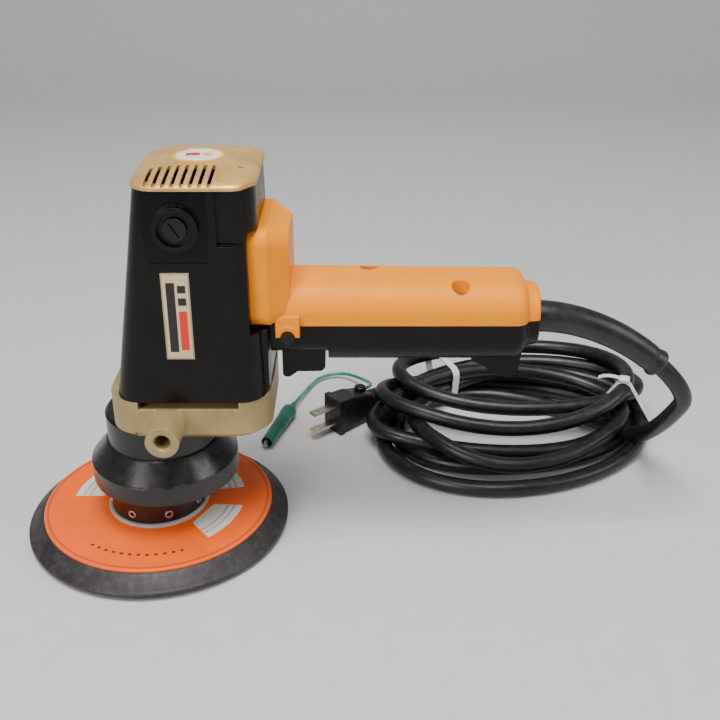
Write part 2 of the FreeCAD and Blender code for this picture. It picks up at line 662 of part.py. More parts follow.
def motor_parts():
    """The armature that turns and the field round it."""
    node("armature_shaft", turned([
        (0, "gear_base - 1"), (2.4, "gear_base - 1"), (2.4, "gear_top + 1"), (3, "gear_top + 1"),
        (3, "motor_low_base - 1"), ("motor_shaft - 0.03", "motor_low_base - 1"),
        ("motor_shaft - 0.03", "comm_top + 0.6"), ("journal - 0.03", "comm_top + 0.6"),
        ("journal - 0.03", "motor_high_top + 1"), (0, "motor_high_top + 1")], MOTOR))
    pinion = gear_shape(int(number("pinion_teeth")), number("gear_module"), 2.4,
                        number("gear_base - 1"), number("gear_top + 1"), False)
    node("pinion", shaped(pinion, MOTOR))
    node("lower_motor_bearing", bearing("motor_shaft", "motor_low_radius", "motor_low_base",
                                        "motor_low_top", MOTOR))
    node("upper_motor_bearing", bearing("journal", 9.5, "motor_high_base", "motor_high_top", MOTOR))

    stack = cut(rod("core_radius", "core_top - core_base", MOTOR, 0, "core_base"),
                rod("motor_shaft - 0.03", "core_top", MOTOR, 0, "core_base - 1"))
    gaps = [ring_block("core_radius - 2.6", 6, 2.4, "core_base - 1", "core_top + 1", a, MOTOR)
            for a in around(12)]
    node("armature_core", cut(stack, *gaps))
    bars = [ring_block("core_radius - 2.9", 4.8, 2, "core_base - 1", "core_top + 1", a, MOTOR)
            for a in around(12)]
    ends = [turned([(5.6, low), (13, low), (15, middle), (13, high), (5.6, high)], MOTOR)
            for low, middle, high in (("core_base - 5.5", "core_base - 3", "core_base - 0.2"),
                                      ("core_top + 0.2", "core_top + 4", "core_top + 8"))]
    node("armature_windings", fuse(*bars, *ends))

    comm = cut(rod("comm_radius", "comm_top - comm_base", MOTOR, 0, "comm_base"),
               rod("motor_shaft - 0.03", "comm_top", MOTOR, 0, "comm_base - 1"))
    cuts = [ring_block("comm_radius", 1.6, 0.5, "comm_base + 2", "comm_top + 1", a, MOTOR) for a in around(24)]
    node("commutator", cut(comm, *cuts))

    disc = turned([("motor_shaft - 0.03", "fan_base"), ("fan_radius", "fan_base"),
                   ("fan_radius", "fan_base + 1.5"), (9, "fan_base + 1.5"), (9, "fan_top"),
                   ("motor_shaft - 0.03", "fan_top")], MOTOR)
    blades = [ring_block("(fan_radius + 12) / 2", "fan_radius - 12", 1.4, "fan_base + 1", "fan_top", a, MOTOR)
              for a in around(11)]
    node("cooling_fan", fuse(disc, *blades))

    ring = cut(rod("stator_radius", "core_top - core_base", MOTOR, 0, "core_base"),
               rod("stator_bore", "core_top", MOTOR, 0, "core_base - 1"))
    windows = [ring_block("stator_bore + 2", 5, 7, "core_base - 1", "core_top + 1", a, MOTOR)
               for a in (45, 135, 225, 315)]
    node("stator_core", cut(ring, *windows))
    coils = []
    for side in (-1, 1):
        sector = [(0, 0), ("-32", "%d * 32" % side), ("32", "%d * 32" % side)]
        for low, high in (("core_base - 6", "core_base"), ("core_top", "core_top + 8")):
            tube = cut(rod("stator_radius - 1", "(%s) - (%s)" % (high, low), MOTOR, 0, low),
                       rod("stator_bore + 0.6", 60, MOTOR, 0, "(%s) - 20" % low))
            coils.append(common(tube, slab(sector, low, high, across=MOTOR)))
    node("field_coils", group(*coils))

    holders, brushes, caps = [], [], []
    for s, axis in ((-1, "-y"), (1, "y")):
        near, far = "%d * 11.6" % s, "%d * 29.4" % s
        low, high = (far, near) if s < 0 else (near, far)
        tube = cut(block("%s - 5" % MOTOR, "%s + 5" % MOTOR, low, high, "brush_height - 5.5", "brush_height + 5.5"),
                   block("%s - 3.3" % MOTOR, "%s + 3.3" % MOTOR, "%s - 1" % low, "%s + 1" % high,
                         "brush_height - 4.3", "brush_height + 4.3"))
        holders.append(tube)
        near, far = "%d * 10.7" % s, "%d * 24" % s
        low, high = (far, near) if s < 0 else (near, far)
        brushes.append(block("%s - 3.2" % MOTOR, "%s + 3.2" % MOTOR, low, high,
                             "brush_height - 4.2", "brush_height + 4.2"))
        cap = cut(rod("cap_radius", "case_top_half - 27.3", MOTOR, "%d * 29.5" % s, "brush_height", axis),
                  cap_slot(s))
        caps.append(cap)
    node("brush_holders", group(*holders))
    node("carbon_brushes", group(*brushes))
    node("brush_caps", group(*caps))


def cap_slot(side):
    """The slanted screwdriver slot in a brush cap."""
    slot = fresh("Part::Box", "Slot")
    bind(slot, "Length", 9)
    bind(slot, "Width", 3)
    bind(slot, "Height", 1.4)
    slot.Placement = Placement(Vector(), Rotation(Vector(0, 1, 0), 56))
    bind(slot, "Placement.Base.x", "%s - 4.5 * cos(56) - 0.7 * sin(56)" % MOTOR)
    bind(slot, "Placement.Base.z", "brush_height + 4.5 * sin(56) - 0.7 * cos(56)")
    bind(slot, "Placement.Base.y", "%s" % ("-case_top_half - 4.1" if side < 0 else "case_top_half + 1.1"))
    return slot


# --------------------------------------------------------------------------- handle

def grip_form(inset):
    """The whole grip with its necked end, drawn in by an inset."""
    half, low, high = "grip_half - %s" % inset, "grip_base + %s" % inset, "grip_top - %s" % inset
    corner = "grip_corner - %s" % inset
    return hull(("-(%s)" % half, half, low, high, corner, "plate_edge + 2"),
                *[("%s - (%s)" % (step, half), "(%s) - %s" % (half, step), "%s + %s" % (low, step),
                   "%s - 1.5 - %s" % (high, step), "%s - %s" % (corner, step / 2), "grip_end + %s - %s" % (reach, inset))
                  for step, reach in ((0, -4), (0.9, -1.6), (2.6, 0.4), (5, 1.4), (5.6, 2.4), (6.4, 7), (7.2, 8))],
                axis="x")


def handle_parts():
    """The two shells of the handle and the screws that hold them."""
    wall = "shell_wall"
    above = block("plate_inner - 1", "handle_end + 5", -40, 40, "split", "grip_top + 60")
    plate = hull(("-plate_half", "plate_half", "plate_base", "plate_top", 8, "plate_inner"),
                 ("-plate_half", "plate_half", "plate_base", "plate_top", 8, "plate_edge"),
                 ("9 - plate_half", "plate_half - 9", "plate_base + 1", "plate_top - 5", 8, "plate_outer"),
                 axis="x")
    tab = block("lock_across - lock_boss", "lock_across + lock_boss", "-grip_half - 2.5", "-grip_half + 6",
                "lock_height + 1", "split + 6")
    boss = common(rod("lock_boss", 9, "lock_across", "-grip_half - 3.3", "lock_height", "y"),
                  block("lock_across - 10", "lock_across + 10", -40, 0, "lock_height", "split + 10"))
    grip = common(grip_form("0"), above)
    upper = fuse(grip, plate, tab, boss)
    cavity = common(grip_form(wall), above)
    plate_hollow = block("plate_inner + 3.6", "plate_outer - 3", -17, 17, "split", "plate_top - 5")
    tools = [cavity, plate_hollow, rod("lock_radius + 0.25", 30, "lock_across", "-grip_half - 9", "lock_height", "y"),
             rod(5, 10, "plate_inner - 2", 0, "plate_base + 12", "x")]
    tools += [rod("screw_radius + 0.3", 12, "plate_inner - 2", y, z, "x") for y, z in mount_spots()]
    shelled = cut(upper, *tools)
    posts = [rod(6, "grip_top - split - 2", x, y, "split") for x, y in grip_screws()]
    wells = [rod(4.6, 30, x, y, "split + 10") for x, y in grip_screws()]
    wells += [rod("screw_radius + 0.3", 30, x, y, "split - 5") for x, y in grip_screws()]
    wells.append(rod("boot_radius", 30, "handle_end - 8", 0, "boot_height", "x"))
    posts_in = [common(post, grip_form("1")) for post in posts]
    node("handle_upper_shell", cut(fuse(shelled, *posts_in), *wells))

    below = block("bay_right - 3", "handle_end + 5", -40, 40, "grip_base - 30", "split")
    fin = slab([(174, "grip_base + 6"), (177, "grip_base"), (183, "grip_base - 2.5"), (190, "grip_base - 8.5"),
                (198, "grip_base - 9"), (201.5, "grip_base - 5"), (203, "grip_base + 10")], -15, 15)
    fin.Placement = Placement(Vector(), Rotation(Vector(1, 0, 0), 90))
    bay = hull(("-20", "20", "trigger_bay", "split + 10", 8, "case_base_right + 2"),
               ("-20", "20", "trigger_bay", "split + 10", 8, "bay_right"), axis="x")
    bay_low = cut(bay, block(0, 300, -60, 60, "split", "split + 60"))
    bay_in = hull(("-17.4", "17.4", "trigger_bay + 2.6", "split + 12", 6, "case_base_right + 5"),
                  ("-17.4", "17.4", "trigger_bay + 2.6", "split + 12", 6, "bay_right + 1"), axis="x")
    lower = fuse(common(grip_form("0"), below), bay_low, fin)
    opening = block("trigger_left - 0.6", "trigger_right + 0.6", "-trigger_half - 0.6", "trigger_half + 0.6",
                    "trigger_bay - 5", "trigger_bay + 8")
    relief = common(grip_form(wall), below)
    clearance = [rod("lock_radius + 0.25", 16, "lock_across", "-grip_half - 4", "lock_height", "y"),
                 block("lock_across - lock_boss - 0.3", "lock_across + lock_boss + 0.3", "-grip_half - 4",
                       "-grip_half + 6.3", "lock_height - 0.3", "split + 6")]
    shelled = cut(lower, bay_in, opening, relief, *clearance)
    posts = [common(rod(4.5, "split - grip_base - 1", x, y, "grip_base + 1"), grip_form("1"))
             for x, y in grip_screws()]
    bores = [rod("screw_radius", 40, x, y, "grip_base + 6") for x, y in grip_screws()]
    bores.append(rod("boot_radius", 30, "handle_end - 8", 0, "boot_height", "x"))
    saddle = cut(block(184, 194, -14, 14, "grip_base + 2", "boot_height - 0.5"),
                 rod("cord_radius", 40, 170, 0, "boot_height", "x"))
    node("handle_lower_shell", cut(fuse(shelled, *posts, saddle), *bores))

    screws = []
    for x, y in grip_screws():
        body = fuse(rod("screw_radius", 23, x, y, "split - 13"), rod(3.6, 2.6, x, y, "split + 10"))
        screws.append(cut(body, drive_slot(x, y, "split + 11.2")))
    node("handle_screws", group(*screws))
    node("mount_screws", group(*[fuse(rod("screw_radius", 6.5, "plate_inner - 2.9", y, z, "x"),
                                      rod(3.4, 2.4, "plate_inner + 3.6", y, z, "x"))
                                 for y, z in mount_spots()]))
    clamp = cut(block(185, 193, -12, 12, "boot_height + 0.5", "boot_height + 8"),
                rod("cord_radius", 40, 170, 0, "boot_height", "x"))
    node("cord_clamp", clamp)


def grip_screws():
    """The two screws driven down through the grip, as (across, along)."""
    return [(122, 9), (169, -13)]


def switch_parts():
    """The trigger, its spring, the lock button and the switch."""
    node("switch_body", fuse(block(79, 112, -8, 8, "trigger_top + trigger_travel + 1", "split + 10"),
                             block(112, 115, -5, 5, "split - 3", "split + 6")))
    profile = [("trigger_left", "trigger_top - 3"), ("trigger_left", "trigger_base - 3"),
               ("trigger_left + 3.5", "trigger_base - 3.4"), ("trigger_left + 8", "trigger_base"),
               ("trigger_right - 2", "trigger_base + 0.2"), ("trigger_right", "trigger_base + 2.4"),
               ("trigger_right", "trigger_top - 3")]
    blade = slab(profile, "-trigger_half", "trigger_half")
    blade.Placement = Placement(Vector(), Rotation(Vector(1, 0, 0), 90))
    soft = rounded(blade, 2, lambda e: e.Length > 17 and abs(e.BoundBox.ZMax - e.BoundBox.ZMin) < 0.01
                   and e.BoundBox.YLength > 17 and e.BoundBox.ZMax < number("trigger_base + 3"))
    flange = block("trigger_left + 2", "trigger_right + 2.4", "-11", "11", "trigger_top - 2.2", "trigger_top")
    middle = block("trigger_left + 2", "trigger_right - 1", "-trigger_half", "trigger_half",
                   "trigger_top - 4", "trigger_top")
    well = rod(3.6, 9, 86, 0, "trigger_top - 8")
    node("trigger", cut(fuse(soft, flange, middle), well))

    rise, turns = number("trigger_travel + 7.4"), 5
    helix = Part.makeHelix(rise / turns, rise, 2.6)
    section = Part.Wire(Part.makeCircle(0.4, Vector(2.6, 0, 0), Vector(0, 1, 0)))
    spring = Part.Wire(helix).makePipeShell([section], True, True)
    node("trigger_spring", shaped(spring, 86, 0, "trigger_top - 7"))

    node("lock_button", fuse(rod("lock_radius", 7.6, "lock_across", "-grip_half - 4.6", "lock_height", "y"),
                             rod("lock_radius - 1", 6, "lock_across", "-grip_half + 2.5", "lock_height", "y")))


# --------------------------------------------------------------------------- cord

def boot_frames():
    """Points and directions along the middle of the boot, with the boot's radius there."""
    start, level = number("handle_end - 13"), number("boot_height")
    wide, thin = number("boot_radius"), number("boot_tip")
    point = Vector(number("handle_end + 1"), 0, level)
    frames = [(Vector(start, 0, level), Vector(1, 0, 0), wide - 0.05), (point, Vector(1, 0, 0), wide - 0.05)]
    steps = 8
    for i in range(1, steps + 1):
        middle, end = [math.radians(number("boot_angle")) * (share / steps) ** 0.8 for share in (i - 0.5, i)]
        point = point + Vector(math.cos(middle), 0, -math.sin(middle)) * number("boot_reach") / steps
        frames.append((point, Vector(math.cos(end), 0, -math.sin(end)), wide + (thin - wide) * i / steps))
    return frames


def tube(points, radius):
    """A round cord through points, straight runs joined by tangent arcs."""
    edges, cursor, radii = [], points[0], []
    for before, corner, after in zip(points, points[1:], points[2:]):
        run_in, run_out = corner - before, after - corner
        half_turn = run_in.getAngle(run_out) / 2
        setback = 0.45 * min(run_in.Length, run_out.Length)
        radii.append(setback / math.tan(half_turn))
        first = corner - Vector(run_in).normalize() * setback
        last = corner + Vector(run_out).normalize() * setback
        toward = (Vector(run_out).normalize() - Vector(run_in).normalize()).normalize()
        middle = corner + toward * (setback * math.tan(half_turn) * 0 + radii[-1] / math.cos(half_turn) - radii[-1])
        edges.append(Part.LineSegment(cursor, first).toShape())
        edges.append(Part.Arc(first, middle, last).toShape())
        cursor = last
    edges.append(Part.LineSegment(cursor, points[-1]).toShape())
    path = Part.Wire(edges)
    circle = Part.Wire(Part.makeCircle(radius, points[0], points[1] - points[0]))
    solid = path.makePipeShell([circle], True, False)
    expected = math.pi * radius ** 2 * path.Length
    print("cord run %.1f mm, radii %s, volume ratio %.4f"
          % (path.Length, [round(r, 1) for r in radii], solid.Volume / expected))
    return solid


def lead_points():
    """The stretch of cord from the boot down to the coil."""
    tip, heading, _ = boot_frames()[-1]
    return [tip, tip + heading * 30, Vector(306, 24, 55), Vector(307, 50, 29), Vector(304, 74, 10.5),
            Vector(283, 92, 8.5)]


def cord_parts():
    """The boot, the cord, its coil and the two ties."""
    sections = [Part.Wire(Part.makeCircle(radius, point, heading)) for point, heading, radius in boot_frames()]
    boot = Part.makeLoft(sections, True, False)
    tip, heading, _ = boot_frames()[-1]
    flare = Part.makeCylinder(number("boot_tip + 0.9"), 4, tip - heading * 4, heading)
    core = Part.makeCylinder(number("cord_radius - 0.02"), 22, Vector(number("handle_end - 35"), 0,
                             number("boot_height")), Vector(1, 0, 0))
    node("cord_boot", shaped(boot.fuse([flare, core]).removeSplitter()))
    node("cord_lead", shaped(tube(lead_points(), number("cord_radius"))))

    rings = []
    for length, width in (("coil_half_length", "coil_half_width"), ("coil_hole_length", "coil_hole_width")):
        oval = fresh("Part::Ellipse", "Oval")
        bind(oval, "MajorRadius", length)
        bind(oval, "MinorRadius", width)
        oval.Placement = Placement(Vector(), Rotation(Vector(0, 0, 1), number("coil_turn")))
        bind(oval, "Placement.Base.x", "coil_across")
        bind(oval, "Placement.Base.y", "coil_along")
        prism = fresh("Part::Extrusion", "Oval_prism")
        prism.Base = oval
        prism.DirMode = "Custom"
        prism.Dir = Vector(0, 0, 1)
        bind(prism, "LengthFwd", "coil_top")
        prism.Solid = True
        rings.append(prism)
    coil = rounded(cut(*rings), 7, lambda e: on_plane(e, "z", number("coil_top")) or on_plane(e, "z", 0))
    node("cord_coil", coil)


def oval_point(angle, share):
    """A point across the coil band: share 0 is the hole's edge and 1 the outside."""
    turn = math.radians(angle)
    length = number("coil_hole_length + (coil_half_length - coil_hole_length) * %f" % share)
    width = number("coil_hole_width + (coil_half_width - coil_hole_width) * %f" % share)
    spot = Rotation(Vector(0, 0, 1), number("coil_turn")).multVec(
        Vector(length * math.cos(turn), width * math.sin(turn), 0))
    return spot + Vector(number("coil_across"), number("coil_along"), 0)


def tie_parts():
    """Two flat ties wrapped round the bundle."""
    ties = []
    for angle in (118, -18):
        inner, outer = oval_point(angle, -0.02), oval_point(angle, 1.02)
        across = outer - inner
        heading = math.degrees(math.atan2(across.y, across.x))
        width, thick, top = number("tie_width"), number("tie_thick"), number("coil_top")
        band = Part.makeBox(across.Length + 2 * thick, width, top + thick + 0.1, Vector(-thick, -width / 2, 0))
        hole = Part.makeBox(across.Length, width + 2, top + 0.1, Vector(0, -width / 2 - 1, -0.05))
        ties.append(shaped(band.cut(hole), inner.x, inner.y, 0, Rotation(Vector(0, 0, 1), heading)))
    node("cord_ties", group(*ties))


# --------------------------------------------------------------------------- plug and earth lead

def plug_axis():
    """The direction from the plug's face back to the cord."""
    turn = math.radians(number("plug_heading"))
    return Vector(math.cos(turn), math.sin(turn), 0)


def plug_point(back, side=0, height=None):
    """A point behind the plug's face and to its left."""
    axis = plug_axis()
    level = number("plug_height") if height is None else height
    return Vector(number("plug_across") + axis.x * back - axis.y * side,
                  number("plug_along") + axis.y * back + axis.x * side, level)


def plug_parts():
    """The plug stands on its narrow side: blades one over the other, knob on top."""
    half, reach, middle = number("plug_half"), number("plug_length"), number("plug_height")
    gap, blade_length = number("blade_gap"), number("blade_reach")
    turn = Rotation(Vector(0, 0, 1), number("plug_heading"))
    spot = ("plug_across", "plug_along", 0)

    face = Part.makeBox(4, 17, 2 * half + 1.6, Vector(0, -8.5, middle - half - 0.8))
    side_points = [Vector(4, -7.5, middle - half), Vector(15, -7.5, middle - half), Vector(reach, -7.5, middle - 8),
                   Vector(reach, -7.5, middle + 8), Vector(15, -7.5, middle + half), Vector(4, -7.5, middle + half)]
    body = Part.Face(Part.makePolygon(side_points + side_points[:1])).extrude(Vector(0, 15, 0))
    whole = face.fuse(body).removeSplitter()
    corners = [e for e in whole.Edges if e.BoundBox.YLength < 0.01 and e.BoundBox.XMin > 4.5]
    whole = whole.makeFillet(2.2, corners)
    for side in (-1, 1):
        level = middle + side * gap / 2
        whole = whole.cut(Part.makeBox(12, 6.3, 1.5, Vector(0, -3.15, level - 0.75)))
    whole = whole.cut(Part.makeCylinder(2.4, 9, Vector(24, 0, middle + 3)))
    node("plug_body", shaped(whole, *spot, turn))

    blades = []
    for side in (-1, 1):
        level = middle + side * gap / 2
        blade = Part.makeBox(blade_length + 12, 6.3, 1.5, Vector(-blade_length, -3.15, level - 0.75))
        hole = Part.makeCylinder(1.5, 4, Vector(4 - blade_length, 0, level - 2))
        blades.append(shaped(blade.cut(hole), *spot, turn))
    node("plug_blades", group(*blades))

    top = middle + 9.9
    head = Part.makeCylinder(4, 3.6, Vector(24, 0, top))
    head = head.makeFillet(1.3, [edge for edge in head.Edges if edge.BoundBox.ZMin > top + 3])
    knob = head.fuse(Part.makeCylinder(2.4, top - middle - 3, Vector(24, 0, middle + 3)))
    node("plug_knob", shaped(knob.removeSplitter(), *spot, turn))

    relief = Part.makeCone(6.9, 6.1, 10, Vector(reach, 0, middle), Vector(1, 0, 0))
    for i in range(2):
        groove = Part.makeTorus(6.9 - 0.28 * i, 0.6, Vector(reach + 3 + 3.5 * i, 0, middle), Vector(1, 0, 0))
        relief = relief.cut(groove)
    node("plug_relief", shaped(relief, *spot, turn))


def wire_points():
    """The earth lead from the back of the plug round to the clip."""
    start = plug_point(number("plug_length"), 6.3, 19.4)
    return [start, start + plug_axis() * 13 + Vector(0, 0, -2), Vector(120, 157, 8), Vector(106, 175, 4),
            Vector(88, 171, 3), Vector(78.5, 150, 3), clip_tail()]


def clip_tail():
    """Where the earth lead enters the clip's sleeve."""
    return Vector(number("clip_across"), number("clip_along"), number("clip_height"))


def clip_parts():
    """The spring clip at the end of the earth lead, inside its soft sleeve."""
    turn = Rotation(Vector(0, 0, 1), number("clip_heading"))
    spot = ("clip_across", "clip_along", "clip_height")
    length = number("clip_length")
    pivot, thick = number("clip_pivot"), 1.9

    def jaw(side):
        """One jaw as a bent plate: tail, pivot lug and a toothed nose."""
        outer = [(11, 3.4), (18, 3.3), (length - 9, 1.9), (length, 0.8)]
        teeth = [(length - 1.2 * i - 0.8, 0.2 if i % 2 == 0 else 0.7) for i in range(6)]
        inner = [(pivot + 4, 0.4), (pivot, 1), (16, 2.3), (11, 2.3)]
        corners = [Vector(x, side * y, -thick) for x, y in outer + teeth + inner]
        return Part.Face(Part.makePolygon(corners + corners[:1])).extrude(Vector(0, 0, 2 * thick))

    def lug(base, top, radius=1.9):
        return Part.makeCylinder(radius, top - base, Vector(pivot, 0, base))

    bore = lug(-3, 3, 0.75)
    fixed = jaw(-1).cut(lug(-0.75, 0.75, 2.3)).fuse([lug(-thick, -0.75), lug(0.75, thick)]).cut(bore)
    node("clip_fixed_jaw", shaped(fixed.removeSplitter(), *spot, turn))
    free = jaw(1).cut(lug(-thick, -0.5, 2.3)).cut(lug(0.5, thick, 2.3)).fuse(lug(-0.5, 0.5)).cut(bore)
    node("clip_moving_jaw", shaped(free.removeSplitter(), *spot, turn))
    node("clip_pin", shaped(lug(-2.2, 2.2, 0.7), *spot, turn))

    along = Vector(1, 0, 0)
    outside = Part.makeCone(1.9, 2.5, 6, Vector(), along).fuse([
        Part.makeCone(2.5, 5.3, 5, Vector(6, 0, 0), along),
        Part.makeCone(5.3, 3.9, length - 14, Vector(11, 0, 0), along)])
    inside = Part.makeCone(2.2, 4.4, 3.5, Vector(7.5, 0, 0), along).fuse(
        Part.makeCone(4.4, 3.1, length - 13, Vector(11, 0, 0), along))
    sleeve = outside.cut(inside).cut(Part.makeCylinder(number("wire_radius"), 9, Vector(-1, 0, 0), along))
    node("clip_boot", shaped(sleeve.removeSplitter(), *spot, turn))
    node("ground_wire", shaped(tube(wire_points(), number("wire_radius"))))


# --------------------------------------------------------------------------- build and export

pad_parts()
spindle_parts()
neck_parts()
housing_parts()
case_parts()
cover_parts()
motor_parts()
handle_parts()
switch_parts()
cord_parts()
tie_parts()
plug_parts()
clip_parts()
doc.recompute()

bad = [o.Name for o in doc.Objects if "Invalid" in o.State or "Error" in o.State]
if bad:
    raise RuntimeError("objects with errors: %s" % bad)
for label, item in NODES.items():
    if item.Shape.isNull() or not item.Shape.isValid() or not item.Shape.Solids:
        raise RuntimeError("bad shape: %s" % label)

os.makedirs("parts", exist_ok=True)
for label, item in NODES.items():
    item.Shape.exportStep("parts/%s.step" % label)
    box = item.Shape.BoundBox
    print("%-22s solids %2d  x %7.1f %7.1f  y %7.1f %7.1f  z %7.1f %7.1f  vol %9.0f"
          % (label, len(item.Shape.Solids), box.XMin, box.XMax, box.YMin, box.YMax, box.ZMin, box.ZMax,
             item.Shape.Volume))
print("nodes", len(NODES))
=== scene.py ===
import json
import math

import bpy
import numpy as np
from mathutils import Matrix, Vector


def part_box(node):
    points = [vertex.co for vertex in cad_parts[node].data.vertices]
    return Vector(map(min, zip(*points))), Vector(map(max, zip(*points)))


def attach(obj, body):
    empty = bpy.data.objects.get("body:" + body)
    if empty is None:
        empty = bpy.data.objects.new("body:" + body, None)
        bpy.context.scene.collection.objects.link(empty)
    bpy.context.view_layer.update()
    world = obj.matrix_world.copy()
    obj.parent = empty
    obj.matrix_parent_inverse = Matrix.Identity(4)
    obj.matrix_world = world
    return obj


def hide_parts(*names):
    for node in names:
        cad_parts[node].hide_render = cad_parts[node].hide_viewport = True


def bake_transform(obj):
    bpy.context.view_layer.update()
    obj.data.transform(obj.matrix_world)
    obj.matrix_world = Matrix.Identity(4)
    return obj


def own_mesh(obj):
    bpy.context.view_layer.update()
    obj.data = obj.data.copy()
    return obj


# A dual action polisher standing on its pad.  Lengths below are in millimetres and are turned
# into metres where a mesh, a curve or a light is made.

MM = 0.001
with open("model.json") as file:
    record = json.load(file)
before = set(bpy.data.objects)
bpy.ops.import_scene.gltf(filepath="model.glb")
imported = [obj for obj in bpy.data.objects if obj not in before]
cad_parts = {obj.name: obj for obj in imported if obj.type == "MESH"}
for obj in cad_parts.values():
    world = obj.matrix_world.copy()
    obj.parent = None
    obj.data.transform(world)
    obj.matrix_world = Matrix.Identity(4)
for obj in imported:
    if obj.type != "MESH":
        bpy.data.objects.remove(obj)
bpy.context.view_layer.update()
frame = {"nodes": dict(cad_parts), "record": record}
NODES = frame["nodes"]


# --------------------------------------------------------------------------- node graphs

class Graph:
    """A material's node tree, with short calls for the nodes used here."""

    def __init__(self, name):
        self.material = bpy.data.materials.new(name)
        self.material.use_nodes = True
        self.tree = self.material.node_tree
        self.shader = self.tree.nodes["Principled BSDF"]
        self.place = self.add("ShaderNodeTexCoord").outputs["Object"]

    def add(self, kind, inputs=(), **settings):
        """A node with its settings and inputs, each a value or another node's output."""
        node = self.tree.nodes.new(kind)
        for key, value in settings.items():
            setattr(node, key, value)
        for key, value in dict(inputs).items():
            self.feed(node.inputs[key], value)
        return node

    def feed(self, socket, value):
        if isinstance(value, bpy.types.NodeSocket):
            self.tree.links.new(value, socket)
        else:
            socket.default_value = value

    def math(self, operation, first, second=0.0, clamp=False):
        node = self.add("ShaderNodeMath", {0: first, 1: second}, operation=operation, use_clamp=clamp)
        return node.outputs[0]

    def noise(self, size, detail=3.0, stretch=(1, 1, 1), rough=0.55):
        """Noise whose blobs are about size millimetres across."""
        spread = self.add("ShaderNodeMapping", {"Vector": self.place, "Scale": stretch}).outputs[0]
        node = self.add("ShaderNodeTexNoise", {"Vector": spread, "Scale": 1 / (size * MM),
                                               "Detail": detail, "Roughness": rough})
        return node.outputs["Fac"]

    def span(self, value, low, high, start=0.0, end=1.0):
        """Maps low..high to start..end and holds it there."""
        node = self.add("ShaderNodeMapRange", {"Value": value, "From Min": low, "From Max": high,
                                               "To Min": start, "To Max": end}, clamp=True)
        return node.outputs["Result"]

    def blend(self, share, first, second):
        """A colour between two others."""
        node = self.add("ShaderNodeMix", data_type="RGBA")
        self.feed(node.inputs[0], share)
        for socket, colour in ((node.inputs[6], first), (node.inputs[7], second)):
            self.feed(socket, (*colour, 1.0) if isinstance(colour, tuple) else colour)
        return node.outputs[2]

    def axes(self):
        """The place's x, y and z in millimetres."""
        parts = self.add("ShaderNodeSeparateXYZ", {"Vector": self.place}).outputs
        return [self.math("MULTIPLY", part, 1 / MM) for part in parts]

    def within(self, value, low, high, soft=0.12):
        """1 where value lies between low and high, with a soft edge."""
        rise = self.span(value, low - soft, low + soft)
        fall = self.span(value, high - soft, high + soft, 1.0, 0.0)
        return self.math("MULTIPLY", rise, fall)

    def edges(self, radius=0.7):
        """(softened normal, 1 on worn outer edges) from a bevel of that radius."""
        bevel = self.add("ShaderNodeBevel", {"Radius": radius * MM}, samples=6).outputs[0]
        flat = self.add("ShaderNodeNewGeometry").outputs["Normal"]
        match = self.add("ShaderNodeVectorMath", {0: bevel, 1: flat}, operation="DOT_PRODUCT")
        return bevel, self.span(match.outputs["Value"], 0.985, 0.86)

    def length(self, first, second):
        """The distance from 0 of a point given by its two coordinates."""
        squares = self.math("ADD", self.math("POWER", first, 2.0), self.math("POWER", second, 2.0))
        return self.math("SQRT", squares)

    def both(self, first, second):
        """1 only where two masks are both 1."""
        return self.math("MULTIPLY", first, second)


def shade(name, colour, rough, metal=0.0, mottle=0.12, grain=(0.5, 0.15), wear=None, worn=0.5, dust=0.0,
          coat=0.0, bevel=0.5, brushed=None, specular=0.5, paint=None):
    """A finish: base colour that drifts a little, moulded or cast grain, rubbed edges and dust.

    grain is (size in mm, strength), wear the colour of rubbed edges and paint a function that
    takes the graph and the base colour and returns a colour with printed marks on it.
    """
    graph = Graph(name)
    shader = graph.shader
    shader.inputs["Metallic"].default_value = metal
    shader.inputs["Coat Weight"].default_value = coat
    shader.inputs["Coat Roughness"].default_value = 0.12
    shader.inputs["Specular IOR Level"].default_value = specular
    dark = tuple(channel * (1 - mottle) for channel in colour)
    light = tuple(min(1.0, channel * (1 + mottle)) for channel in colour)
    tone = graph.blend(graph.span(graph.noise(14, 4), 0.35, 0.65), dark, light)
    if paint:
        tone = paint(graph, tone)
    soft, edge = graph.edges(bevel)
    rough_map = graph.span(graph.noise(5, 5), 0.3, 0.7, max(0.05, rough - 0.06), min(1.0, rough + 0.09))
    if wear:
        rubbed = graph.math("MULTIPLY", edge, graph.span(graph.noise(2.2, 4), 0.42, 0.62, 0.0, worn))
        tone = graph.blend(rubbed, tone, wear)
    if dust:
        facing = graph.add("ShaderNodeSeparateXYZ", {
            "Vector": graph.add("ShaderNodeNewGeometry").outputs["Normal"]}).outputs["Z"]
        settled = graph.math("MULTIPLY", graph.span(facing, 0.1, 1.0, 0.25, 1.0),
                             graph.span(graph.noise(3.5, 6), 0.46, 0.7, 0.0, dust))
        tone = graph.blend(settled, tone, (0.5, 0.47, 0.42))
        rough_map = graph.math("ADD", rough_map, graph.math("MULTIPLY", settled, 0.4), True)
    graph.feed(shader.inputs["Base Color"], tone)
    graph.feed(shader.inputs["Roughness"], rough_map)
    stretch = brushed or (1, 1, 1)
    relief = graph.add("ShaderNodeBump", {"Height": graph.noise(grain[0], 3, stretch), "Distance": 0.05 * MM,
                                          "Strength": grain[1], "Normal": soft}).outputs[0]
    graph.feed(shader.inputs["Normal"], relief)
    return graph.material


# --------------------------------------------------------------------------- printed and woven surfaces

